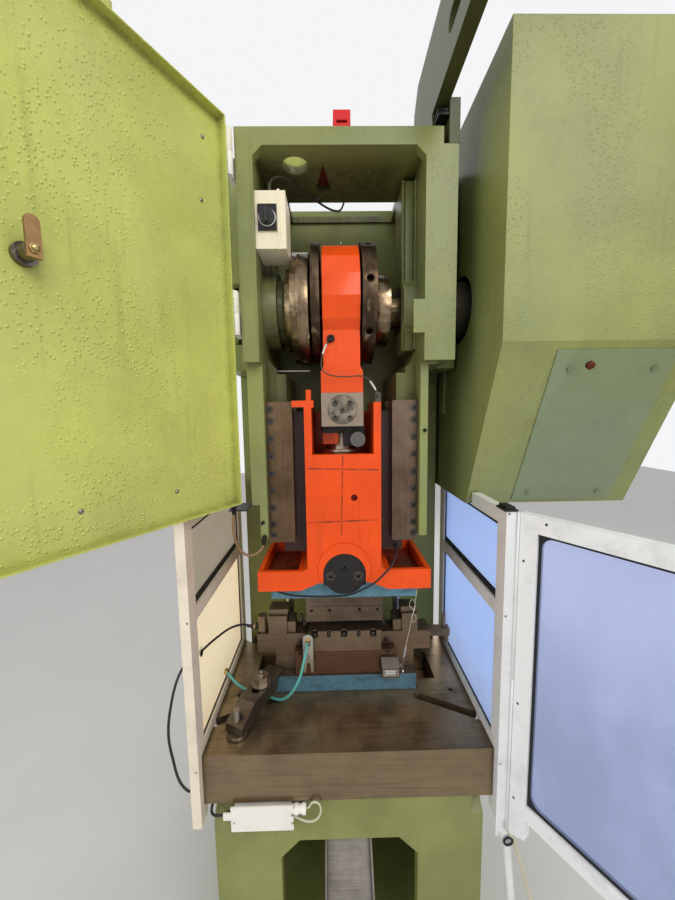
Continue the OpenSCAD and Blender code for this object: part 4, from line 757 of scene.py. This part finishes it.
class PRESS_OT_steel(bpy.types.Operator):
    """Give the bare metal parts their oily, turned or blackened finish"""

    bl_idname = "press.steel"
    bl_label = "Steel"

    def execute(self, context):
        along = (240, 240, 6)
        for material, *nodes in (
            (oily_steel("table_steel", (0.1, 0.074, 0.045), (0.3, 0.215, 0.125), 0.2, side=1.04),
             "bolster", "bed_plate"),
            (oily_steel("gib_steel", (0.1, 0.062, 0.04), (0.21, 0.145, 0.105), grain=along),
             "gib_right", "guide_blocks"),
            (oily_steel("gib_warm", (0.095, 0.052, 0.026), (0.19, 0.122, 0.068), grain=along), "gib_left"),
            (oily_steel("block_steel", (0.055, 0.026, 0.017), (0.15, 0.08, 0.05), side=1.2), "die_block"),
            (oily_steel("die_steel", (0.07, 0.048, 0.032), (0.19, 0.135, 0.09), side=1.35),
             "die_plate", "stock_guides"),
            (oily_steel("punch_steel", (0.07, 0.048, 0.033), (0.18, 0.13, 0.09)), "punch_plate"),
            (oily_steel("clamp_steel", (0.05, 0.042, 0.032), (0.15, 0.12, 0.085), rough=0.24), "strap_clamp"),
            (plain_metal("nut_steel", (0.34, 0.3, 0.25), 0.26), "clamp_studs"),
            (oily_steel("chute_steel", (0.16, 0.14, 0.12), (0.34, 0.31, 0.27), rough=0.5, metal=0.3),
             "scrap_chute"),
            (turned_steel("turned_steel", (0.43, 0.31, 0.19), 0.2, (0.0, 1.95)),
             "crankshaft", "setting_drum"),
            (turned_steel("disc_steel", (0.14, 0.095, 0.06), 0.34, (0.0, 1.965), shine=0.25),
             "eccentric_bush", "clamp_ring"),
            (plain_metal("ground_steel", (0.36, 0.28, 0.21), 0.26), "ball_spindle", "clamp_block"),
            (plain_metal("dark_steel", (0.14, 0.12, 0.1), 0.42),
             "right_quill", "flywheel", "clutch_hub", "motor", "motor_pulley"),
            (plain_metal("black_oxide", (0.11, 0.1, 0.09), 0.3, rubbed=4.0), "gib_screws", "slide_screws"),
            (plain_metal("cap_oxide", (0.045, 0.042, 0.04), 0.28, metal=0.85, rubbed=5.0), "shank_cap"),
            (cover_metal("cover_steel", (0.3, 0.25, 0.19)), "block_cover"),
            (enamel("collar_enamel", (0.016, 0.014, 0.013), (0.006, 0.005, 0.004), extra=collar_paint),
             "adjuster_collar"),
            (plain_metal("knob_steel", (0.17, 0.16, 0.15), 0.3, rubbed=3.0), "adjuster_knob"),
            (plain_metal("bronze", (0.4, 0.24, 0.11), 0.34, mottle=0.5),
             "left_bearing", "rod_bush", "ball_seat", "lock_cam"),
            (plain_metal("bright_steel", (0.6, 0.58, 0.54), 0.22),
             "guide_pillars", "nozzle_bracket", "counter_lever"),
            (plain_metal("plated_steel", (0.2, 0.17, 0.15), 0.3), "door_lock", "stroke_counter"),
        ):
            dress(material, *nodes, bevel=STEEL_EDGE)
        return {"FINISHED"}


class PRESS_OT_guards(bpy.types.Operator):
    """Finish the aluminium guards and their filmed sheets"""

    bl_idname = "press.guards"
    bl_label = "Guards"

    def execute(self, context):
        dress(profile_metal("left_profile", (0.87, 0.77, 0.61)), "left_guard")
        dress(profile_metal("right_profile", (0.84, 0.84, 0.84)), "right_guard")
        dress(profile_metal("front_profile", (0.97, 0.98, 0.99)), "front_guard")
        c = context.scene.press_colours
        dress(side_sheets("side_sheets", tuple(c.film_blue), tuple(c.film_cream), tuple(c.film_grey)),
            "guard_panels", bevel=0)
        dress(front_sheet("front_sheet", tuple(c.film_dusk), tuple(c.film_pale)), "front_panel", bevel=0)
        return {"FINISHED"}


class PRESS_OT_fittings(bpy.types.Operator):
    """Finish the switches, boxes, belt and other moulded parts"""

    bl_idname = "press.fittings"
    bl_label = "Fittings"

    def execute(self, context):
        dress(moulded("red_case", (0.7, 0.012, 0.014)), "interlock_switch")
        dress(moulded("ivory_case", (0.97, 0.88, 0.66)), "switch_box")
        dress(moulded("black_case", (0.03, 0.03, 0.03)), "selector_knob")
        dress(moulded("white_case", (0.9, 0.87, 0.78)), "terminal_box")
        dress(moulded("belt_rubber", (0.02, 0.02, 0.02), 0.7), "drive_belt")
        return {"FINISHED"}


def lay_cord(name, points, diameter, body, material):
    """A round cord along a smooth route in millimetres."""
    path = smooth(points)
    piece = Form().tube(path, diameter / 2, 14).make(name, body, material)
    line = path * 0.001
    return (piece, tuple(line[0]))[0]


SWITCH_ROUTE = [(-172, -102, 2201), (-172, -102, 2222), (-165, -97, 2242), (-147, -80, 2257),
    (-122, -40, 2266), (-95, 2, 2270), (-62, 44, 2271), (-30, 82, 2272), (-3, 113, 2280), (14, 131, 2298),
    (22, 125, 2319), (23, 98, 2327), (20, 62, 2317), (16, 20, 2303), (12, -35, 2300.5), (8, -72, 2305),
    (6, -96, 2317), (6, -116, 2326)]
EARTH_ROUTE = [(-33, -126, 1846), (-37, -127, 1840), (-43, -129, 1828), (-48.5, -131, 1812),
    (-51.5, -134, 1796), (-51.5, -136.5, 1783), (-47, -138, 1772), (-33, -138.5, 1763), (-12, -138, 1758.5),
    (12, -138, 1757.5), (38, -138, 1759), (56, -137, 1757), (66, -134, 1751), (75, -130, 1740),
    (83, -128, 1728), (87, -126.5, 1719)]
SLIDE_ROUTE = [(146, -72, 1293), (146, -88, 1292), (143, -106, 1288), (136, -124, 1278), (126, -137, 1265),
    (108, -143, 1247), (82, -143, 1222), (45, -138, 1198), (20, -125, 1180), (-4, -109, 1167),
    (-36, -98, 1160), (-68, -94, 1158), (-98, -92, 1158), (-128, -92, 1160), (-158, -92, 1165),
    (-182, -89, 1171), (-200, -80, 1177)]
SENSOR_ROUTE = [(-271, -29, 1035), (-284, -29, 1037), (-300, -34, 1043), (-318, -52, 1051), (-333, -86, 1061),
    (-344, -130, 1071), (-352, -172, 1080), (-361, -211, 1086), (-375, -238, 1087), (-387, -263, 1077),
    (-395, -283, 1052), (-401, -296, 1015), (-406, -303, 970), (-406, -303, 926), (-402, -300, 885),
    (-399, -296, 850), (-396, -286, 812), (-394, -270, 778), (-394, -254, 752), (-393.5, -238, 733),
    (-390, -221, 720), (-380.5, -209.5, 712), (-367, -205.5, 706.5), (-354, -209, 703), (-344, -218.7, 701.5),
    (-340.5, -232, 701), (-340.5, -248.5, 701.3), (-337, -261.5, 702.3), (-327.5, -271, 704.5),
    (-314.5, -274.5, 707.5), (-302, -274, 710.3), (-290, -272, 712), (-278, -271, 712)]
AIR_ROUTE = [(-105.5, -95, 1027.5), (-106, -106, 1026), (-108, -119, 1018), (-112, -129, 1003),
    (-117, -134, 982), (-124, -137, 956), (-135, -138, 930), (-149, -136, 906), (-166, -129, 885),
    (-184, -119, 871), (-203, -108, 865), (-222, -98, 864.2), (-243, -88, 864.2), (-265, -80, 864.2),
    (-288, -73, 865.5), (-308, -67, 870), (-326, -61, 881), (-341, -56, 896), (-352, -52, 905)]
OIL_ROUTE = [(-275, -172, 1432), (-276.5, -172, 1408), (-278, -171, 1386), (-277, -170, 1364),
    (-272, -168, 1341), (-263, -165, 1322), (-250, -161, 1310), (-236, -156, 1307), (-223, -149, 1311),
    (-214, -142, 1321), (-210.5, -139, 1334)]
STRING_ROUTE = [(197, -121, 1192), (196, -121.3, 1184), (193, -122, 1160), (188.4, -124, 1130),
    (182, -126, 1104), (173, -128.5, 1064), (164.6, -131, 1028), (161.4, -131, 1009)]
LOOP_ROUTE = [(-105, -274.5, 720), (-98, -275.5, 724), (-92, -277, 735), (-83, -278.5, 741), (-73, -279, 735),
    (-69, -279, 722), (-71, -279, 708), (-79, -278.5, 695), (-92, -277, 687), (-107, -275, 686),
    (-123, -273, 691), (-139, -272, 698)]


class PRESS_OT_leads(bpy.types.Operator):
    """Lay the cables, the air and oil tubes and the counter's string, with their ends"""

    bl_idname = "press.leads"
    bl_label = "Leads and tubes"

    def execute(self, context):
        black = moulded("black_sheath", (0.018, 0.018, 0.02), 0.36, 0.3)
        grey = moulded("grey_sheath", (0.075, 0.065, 0.05), 0.42, 0.4)
        cream = moulded("cream_sheath", (0.6, 0.58, 0.42), 0.4, 0.3)
        air = moulded("air_hose", (0.11, 0.4, 0.36), 0.28, 0.35)
        white = moulded("white_sleeve", (0.72, 0.7, 0.64), 0.4, 0.3)
        oil = clear_plastic("oil_hose", (0.34, 0.2, 0.085), 0.75)
        brass = plain_metal("fitting_brass", (0.42, 0.3, 0.13), 0.3)
        steel = plain_metal("fitting_steel", (0.4, 0.38, 0.35), 0.3)
        dark = plain_metal("fitting_black", (0.03, 0.028, 0.026), 0.38, 0.7)

        relief = Form().turned([(0, 8, 6), (7, 8, 6), (7.5, 6.4, 0), (22, 4.6, 0), (30, 3.3, 0)],
            SWITCH_ROUTE[0], UP).make("switch_relief", "root", grey)
        clips = Form()
        for x, y, z in (SWITCH_ROUTE[4], SWITCH_ROUTE[6]):
            clips.slab((x - 9, y - 4, 2274.5), (x + 9, y + 4, 2277))
            clips.tube([(x + 4.5 * math.cos(t), y, z + 4.5 * math.sin(t))
                for t in np.linspace(-0.4, math.pi + 0.4, 14)], 1.2, 6)
        clips.make("lead_clips", "root", steel)
        lay_cord("switch_lead", SWITCH_ROUTE, 6, "root", grey)

        path = smooth(EARTH_ROUTE)
        sleeves = Form().tube(path[3:13], 2.7, 12).tube(path[-12:-2], 2.6, 12)
        sleeves = sleeves.make("lead_sleeves", "slide", white)
        lug = Form().band(circle(91, 1711.5, 8.5), circle(91, 1711.5, 4.4), (0, -125.5, 0), 1.6)
        lug.slab((84, -124, 1694), (99, -121, 1712)).socket_screw((91, -126, 1711.5), AHEAD, 6, 6)
        lug.slab((84, -125.4, 1716), (89, -124, 1722))
        grey_steel = plain_metal("lug_steel", (0.13, 0.11, 0.09), 0.3, rubbed=3.0)
        lug = lug.make("slide_lug", "slide", grey_steel, 0.0004)
        lay_cord("earth_lead", EARTH_ROUTE, 3.4, "slide", grey)
        rod_lug = Form().band(circle(-27, 1854, 10), circle(-27, 1854, 5), (0, -120.2, 0), 1.8)
        rod_lug.socket_screw((-27, -121.5, 1854), AHEAD, 8, 8)
        rod_lug.tube([(-30.5, -122.5, 1849), (-32, -124, 1847), (-35, -126, 1843)], 2.4)
        rod_lug.make("rod_lug", "rod", dark)

        gland = Form().turned([(0, 7, 6), (5, 7, 6), (5.5, 5, 0), (12, 3.6, 0)], (146, -69.5, 1293), AHEAD)
        gland.turned([(0, 6, 0), (3, 6, 0), (9, 3.4, 0)], (-201, -79, 1177.5), (0.6, -0.8, -0.2))
        gland = gland.make("slide_glands", "slide", dark)
        lay_cord("slide_lead", SLIDE_ROUTE, 5, "slide", black)

        plugs = Form().turned([(0, 11, 6), (8, 11, 6), (9, 8, 0), (20, 7.5, 24), (22, 5, 0), (34, 3.4, 0)],
            (-258, -29, 1035), LEFT)
        for x in (-355.4, -363.2):
            plugs.turned([(0, 8, 0), (1, 9, 0), (2.4, 8, 0)], (x, -210 - (x + 360) * 1.5, 1086), LEFT)
        plugs = plugs.make("sensor_glands", "root", dark)
        lay_cord("sensor_lead", SENSOR_ROUTE, 6, "root", black)

        nozzle = Form().turned([(0, 5.6, 0), (2, 8, 6), (9, 8, 6), (10, 6, 0), (14, 5.2, 0)],
            (-105.5, -92, 1027.5), AHEAD)
        nozzle.turned([(0, 9, 6), (5, 9, 6), (5.5, 6.6, 0), (11, 6.2, 0)], (-358, -49, 908),
            (1, -0.45, -0.35))
        nozzle = nozzle.make("air_fittings", "root", brass)
        lay_cord("air_hose", AIR_ROUTE, 8, "root", air)

        ends = Form().turned([(0, 8, 6), (10, 8, 6), (10.5, 5.5, 0), (20, 5.2, 0), (26, 4.2, 0)],
            (-275, -172, 1446), DOWN)
        ends.slab((-285, -182, 1430), (-241, -108, 1433))
        ends.turned([(0, 6.5, 6), (7, 6.5, 6), (7.5, 5, 0), (14, 5, 0)], (-210, -125, 1344), AHEAD)
        ends.turned([(-6, 5, 0), (7, 5.6, 6), (13, 5.6, 6), (14, 4.4, 0)], (-210.3, -139, 1342), DOWN)
        ends = ends.make("oil_fittings", "root", dark, 0.0004)
        lay_cord("oil_hose", OIL_ROUTE, 7, "root", oil)

        coil = Form().tube(helix((164.6, -131, 1029), (159.4, -131, 998), 2.7, 12), 0.55, 6)
        coil.tube(smooth([(159.4, -131, 999), (158.5, -131, 988), (157.3, -131, 972), (157, -130, 962),
            (156.8, -127.5, 957.5), (156.8, -131, 954)], 1.5), 0.7, 6)
        coil = coil.make("counter_spring", "slide", steel)
        loops = Form().tube(smooth([(188.4, -124, 1130), (180, -124, 1137), (176, -125, 1150),
            (183, -124, 1160), (190, -123, 1150), (191, -123, 1136), (188, -124, 1128), (182, -126, 1110),
            (186, -127, 1096), (193, -126, 1103), (190, -125, 1118)], 2.0), 0.55, 6)
        loops.turned([(-3, 1.2, 0), (-1, 2, 0), (1, 2, 0), (3, 1.2, 0)], (188.4, -124, 1130), (0.2, 0, 1), 10)
        loops = loops.make("string_knot", "slide", cream)
        lay_cord("counter_string", STRING_ROUTE, 1.2, "slide", cream)

        lay_cord("terminal_loop", LOOP_ROUTE, 5, "root", cream)
        return {"FINISHED"}


class PRESS_OT_crown_parts(bpy.types.Operator):
    """Add the crown's wall edge, the pin, the nipple, the switch's ring and other small parts"""

    bl_idname = "press.crown_parts"
    bl_label = "Crown parts"

    def execute(self, context):
        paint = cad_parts["crown_housing"].data.materials[0]
        steel = plain_metal("pin_steel", (0.36, 0.34, 0.31), 0.28)
        dark = plain_metal("small_black", (0.025, 0.023, 0.021), 0.4, 0.7)
        white = moulded("ring_white", (0.8, 0.8, 0.78), 0.35, 0.3)
        plate = moulded("dial_black", (0.012, 0.012, 0.012), 0.3, 0.2)

        edge = Form().prism(rounded(166.5, -58, 200, 60, 9), (0, 0, 1833), (1, 0, 0), (0, 1, 0), 430)
        edge.make("wall_edge", "root", paint, 0.003)
        bead = Form()
        for points in ([(167, -58, 1836), (167, -58.5, 1950), (167, -58, 2100), (167, -58, 2262)],
                [(199, -59, 1836), (199, -59.5, 2050), (199, -59, 2262)],
                [(-199, 66, 2050), (-199, 66.5, 2160), (-199, 66, 2276)],
                [(-200, 178, 1840), (-200, 178, 2050), (-200, 178, 2276)],
                [(-238, -126, 1792), (-222, -126, 1791.5), (-206, -126, 1792)],
                [(206, -126, 1792), (222, -126, 1791.5), (238, -126, 1792)]):
            path = smooth(points, 1.6)
            size = 4.0 + 0.7 * np.sin(np.arange(len(path)) * 1.6 * 2 * np.pi / 6.4)
            bead.tube(path, size, 8)
        bead.make("weld_beads", "root", paint)

        pin = Form().turned([(0, 3.2, 0), (110, 3.2, 0), (113, 2.4, 0)], (-200, -20, 1786), RIGHT, 16)
        pin.make("stop_pin", "root", steel)
        clip = Form().slab((-126, -52, 2087), (-84, -36, 2089.5))
        clip.slab((-126, -53.5, 2080), (-84, -51.5, 2089.5)).socket_screw((-92, -44, 2089), UP, 3.6, 3)
        clip.make("drum_clip", "crank", steel, 0.0005)
        nipple = Form().turned([(-1, 7, 6), (7, 7, 6), (7.6, 4.2, 0), (14, 3.6, 0), (16, 2.6, 0),
            (19, 3.4, 0), (22, 3.2, 0), (25, 1.4, 0)], (5, 0, 2116), UP)
        nipple.make("rod_nipple", "rod", steel)

        ring = Form().band(circle(-171, 2124, 20.4), circle(-171, 2124, 18.4), (0, -155.6, 0), 1.6)
        ring.make("knob_ring", "root", white)
        dial = Form().band(rounded(-193, 2094, -149, 2154, 2), circle(-171, 2124, 18.3, 24),
            (0, -155, 0), 0.9)
        dial.make("dial_plate", "root", plate)
        nipples = Form()
        for x, z in ((212, 1620), (-213, 1383)):
            nipples.turned([(0, 5, 6), (4, 5, 6), (4.4, 3, 0), (9, 2.6, 0), (12, 3, 0), (14, 1.4, 0)],
                (x, -125, z), AHEAD, 24)
        nipples.make("strip_nipples", "root", dark)
        # Painted light: the hood over the hole is painted bright yellow-green, the colour of a lit surface.
        hood = Form().prism(array([(-50, 2297), (-79, 2348), (-81.6, 2346.6), (-53, 2297)]), (-148, 0, 0),
            (0, 1, 0), (0, 0, 1), 80)
        hood.slab((-148, -53, 2297), (-68, -30, 2299.5))
        hood.make("hole_hood", "root", enamel("hood_lit_enamel", (0.62, 0.66, 0.16), (0.1, 0.09, 0.03)))
        cover = Form().slab((-68, -72, 2297), (-12, 44, 2299.5)).socket_screw((-60, 36, 2299.5), UP, 3.5, 3)
        cover.make("hole_cover", "root", enamel("primer", (0.16, 0.03, 0.018), (0.03, 0.01, 0.006)), 0.0006)
        ribs = Form()
        for k in range(9):
            z = 2338 + 13 * k
            y = -140 + 6.5 * k
            ribs.slab((226, y - 22, z), (250, y + 8, z + 7))
        ribs.slab((231, -136, 2335), (245, -78, 2450))
        ribs.make("arm_bellows", "root", dark, 0.001)
        return {"FINISHED"}


class PRESS_OT_die_parts(bpy.types.Operator):
    """Add the die's pins and screws, the counter's figures and the table's small parts"""

    bl_idname = "press.die_parts"
    bl_label = "Die parts"

    def execute(self, context):
        steel = plain_metal("die_screws", (0.09, 0.078, 0.065), 0.3, rubbed=3.0)
        bright = plain_metal("counter_trim", (0.5, 0.49, 0.46), 0.3)
        white = moulded("figure_white", (0.75, 0.75, 0.72), 0.4, 0.2)
        black = moulded("figure_black", (0.02, 0.02, 0.02), 0.4, 0.2)

        pins = Form()
        for x in (-87, -2, 82):
            pins.socket_screw((x, -74.4, 1026), UP, 6.2, 13)
        for x in (-46, 40):
            pins.turned([(0, 3.2, 0), (12, 3.2, 0), (14, 2.2, 0)], (x, -75.4, 1026), UP, 20)
        for x, z in ((124, 1000), (124, 984), (-130, 1000), (-130, 984)):
            pins.socket_screw((x, -49 if z > 990 else -75, z - 4), AHEAD, 5.5, 5)
        pins.make("die_pins", "root", steel)

        head = Form().turned([(0, 7, 6), (8, 7, 6), (9, 5.5, 0), (16, 5.5, 24), (20, 4, 0)],
            (-128, -40, 1056), UP)
        head.turned([(0, 5, 6), (6, 5, 6), (14, 3.4, 0)], (-117, -42, 1043), UP)
        head.turned([(0, 5, 6), (6, 5, 6), (14, 3.4, 0)], (117, -42, 1043), UP)
        head.make("gauge_studs", "root", steel)

        trim = Form().band(rounded(106, 925, 150, 944, 2), rounded(110, 928, 146, 941, 1), (0, -109, 0), 1.2)
        trim.make("counter_trim", "root", bright, 0.0003)
        wheels, figures = Form(), Form()
        for k in range(5):
            x = 112.4 + 6.3 * k
            wheels.slab((x, -108, 929), (x + 5.4, -107, 940))
            figures.band(circle(x + 2.7, 934.5, 1.9, 18), circle(x + 2.7, 934.5, 1.1, 18), (0, -108, 0), 0.3)
        wheels.make("counter_wheels", "root", white)
        figures.make("counter_figures", "root", black)
        return {"FINISHED"}


RIVETS = ((361.5, 1344), (317.8, 1435.6), (20, 1435.6), (-250, 1435.6), (361.5, 1010), (361.5, 772))


class PRESS_OT_guard_parts(bpy.types.Operator):
    """Add the seals of the guard sheets, the post's cap, the stay and the door's screws"""

    bl_idname = "press.guard_parts"
    bl_label = "Guard parts"

    def execute(self, context):
        rubber = moulded("seal_rubber", (0.012, 0.012, 0.013), 0.5, 0.2)
        cream = moulded("stay_enamel", (0.62, 0.58, 0.42), 0.35, 0.5)
        dark = plain_metal("guard_screws", (0.05, 0.045, 0.04), 0.4, 0.8)
        steel = plain_metal("door_screws", (0.3, 0.29, 0.26), 0.34)

        seal = Form()
        for y in (-299.5, -307.0):
            seal.band(rounded(-335, 776, 334.5, 1411, 2), rounded(-329, 782, 328.5, 1405, 24),
                (0, y, 0), -2.5)
        seal.make("front_seal", "front_guard", rubber, swing=guard_swing)

        sides = Form()
        for x, out in ((-358, 1), (358, -1)):
            for low, high, foot in ((882.5, 1191.5, 5), (1226.5, 1409.5, 17)):
                sides.band(rounded(-249.5, low, 137.5, high, 1), rounded(-244, low + foot, 132, high - 5, 4),
                    (x, 0, 0), 2.5 * out, (0, 1, 0))
        sides.make("side_seals", "root", rubber)

        cap = Form().slab((345, -293, 1448), (375, -247, 1453)).slab((350, -290, 1453), (370, -250, 1459))
        cap.make("post_cap", "root", rubber, 0.002)
        eye = Form().band(circle(374, 652, 12.5), circle(374, 652, 7.5), (0, -304, 0), 1.6)
        eye.make("eye_seal", "root", rubber)

        stay = Form().tube([(386, -301, 661), (420, -301, 543), (480, -301, 336), (577, -301, 6)], 4.4, 16)
        stay.turned([(0, 8, 0), (6, 8, 0), (9, 5, 0)], (383.5, -296, 664), AHEAD, 24)
        stay.make("stay_rod", "root", cream)
        stand = Form().turned([(0, 20, 0), (3, 20, 0), (8, 11, 0), (14, 7, 0)], (579, -301, 0), UP)
        stand.make("stay_foot", "root", rubber)

        rivets = Form()
        for x, z in RIVETS:
            rivets.turned([(0, 3.0, 0), (0.2, 2.8, 0), (0.3, 1.2, 0)], (x, -290.5, z), (0, 1, 0), 16)
        rivets.make("guard_rivets", "front_guard", dark, swing=guard_swing)

        screws = Form()
        for x, y, z in ((-285, -221, 2254), (-296.5, -226.8, 2123), (-348, -313, 1511), (-439, -464, 1513)):
            spot = array([x, y, z])
            flat = (spot - (*DOOR_HINGE, z)) @ DOOR_OUT
            base = spot - (12 + flat) * DOOR_OUT
            screws.turned([(0, 4.4, 0), (1.6, 4, 0), (3, 2.2, 0)], base, DOOR_OUT, 20)
        screws.make("door_screws", "door", steel)
        pivot = turned_about(array([(137, -145.7, 1897), (137, -144.7, 1897)]), DOOR_HINGE, DOOR_OPEN)
        screw = Form().turned([(0, 7.6, 6), (2.2, 7.6, 6), (2.4, 5.4, 0), (5, 4.6, 0), (6.4, 2.4, 0)],
            pivot[0], pivot[1] - pivot[0], 30)
        screw.make("cam_screw", "catch", plain_metal("cam_brass", (0.5, 0.36, 0.16), 0.24), 0.0003)
        knob = Form().turned([(0, 6, 0), (2, 9, 30), (9, 9, 30), (11, 6.5, 0)], (530, -265, 1765),
            (0, -0.8, -0.6))
        knob.make("hatch_knob", "root", plain_metal("knob_copper", (0.16, 0.05, 0.03), 0.35), 0.0003)
        return {"FINISHED"}


class PRESS_OT_stage(bpy.types.Operator):
    """Lay the pale floor and hang the soft studio lamps"""

    bl_idname = "press.stage"
    bl_label = "Stage"

    def execute(self, context):
        values = context.scene.press_stage
        half = 9.0
        mesh = bpy.data.meshes.new("floor")
        corners = [(-half, -half, 0), (half, -half, 0), (half, half, 0), (-half, half, 0)]
        mesh.from_pydata(corners, [], [(0, 1, 2, 3)])
        floor = bpy.data.objects.new("floor", mesh)
        context.scene.collection.objects.link(floor)
        f = Finish("floor_paint")
        f.tone = f.mix(f.noise(2.0, 4.0), (0.56, 0.55, 0.53), (0.63, 0.62, 0.6))
        mesh.materials.append(f.wear(Roughness=0.7))
        lamps = (("key", (1.6, -3.2, 3.9), (0.0, 0.1, 1.4), 2.2, values.key_power, (1.0, 0.98, 0.94)),
            ("fill", (-2.6, -2.4, 2.2), (0.1, 0.2, 1.3), 2.2, values.fill_power, (0.95, 0.97, 1.0)),
            ("rear", (1.6, 3.6, 3.2), (0.1, 0.3, 1.3), 2.4, values.key_power * 0.6, (1.0, 1.0, 1.0)))
        for name, place, target, size, power, colour in lamps:
            lamp = bpy.data.lights.new(name, "AREA")
            lamp.size = size
            lamp.energy = power
            lamp.color = colour
            obj = bpy.data.objects.new(name, lamp)
            context.scene.collection.objects.link(obj)
            obj.location = place
            obj.rotation_euler = (obj.location - Vector(target)).to_track_quat("Z", "Y").to_euler()
        world = bpy.data.worlds.new("studio")
        world.use_nodes = True
        tree = world.node_tree
        background = next(n for n in tree.nodes if n.type == "BACKGROUND")
        background.inputs["Color"].default_value = (0.98, 0.985, 1.0, 1)
        path = tree.nodes.new("ShaderNodeLightPath")
        seen = path.outputs["Is Camera Ray"]
        for name in ("Is Glossy Ray", "Is Transmission Ray"):
            either = tree.nodes.new("ShaderNodeMath")
            either.operation = "MAXIMUM"
            tree.links.new(seen, either.inputs[0])
            tree.links.new(path.outputs[name], either.inputs[1])
            seen = either.outputs[0]
        strength = tree.nodes.new("ShaderNodeMapRange")
        strength.inputs["To Min"].default_value = values.sky
        strength.inputs["To Max"].default_value = 0.93
        tree.links.new(seen, strength.inputs["Value"])
        tree.links.new(strength.outputs[0], background.inputs["Strength"])
        context.scene.world = world
        context.scene.view_settings.view_transform = "Standard"
        return {"FINISHED"}


class PRESS_PT_panel(bpy.types.Panel):
    """Shows the press's colours, the stage's values and the buttons of the steps"""

    bl_label = "Stamping press"
    bl_space_type = "VIEW_3D"
    bl_region_type = "UI"
    bl_category = "Press"

    def draw(self, context):
        for group in (context.scene.press_colours, context.scene.press_stage):
            for name in group.bl_rna.properties.keys():
                if name not in {"rna_type", "name"}:
                    self.layout.prop(group, name)
        for step in STEPS:
            self.layout.operator(step.bl_idname)


STEPS = (PRESS_OT_camera, PRESS_OT_leads, PRESS_OT_paint, PRESS_OT_steel, PRESS_OT_guards, PRESS_OT_fittings,
    PRESS_OT_crown_parts, PRESS_OT_die_parts, PRESS_OT_guard_parts, PRESS_OT_stage)
CLASSES = (PressColours, PressStage, *STEPS, PRESS_PT_panel)


def register():
    for cls in CLASSES:
        bpy.utils.register_class(cls)
    bpy.types.Scene.press_colours = bpy.props.PointerProperty(type=PressColours)
    bpy.types.Scene.press_stage = bpy.props.PointerProperty(type=PressStage)


def unregister():
    del bpy.types.Scene.press_stage
    del bpy.types.Scene.press_colours
    for cls in reversed(CLASSES):
        bpy.utils.unregister_class(cls)


def main():
    register()
    for step in STEPS:
        group, name = step.bl_idname.split(".")
        getattr(getattr(bpy.ops, group), name)()


if __name__ == "__main__":
    main()
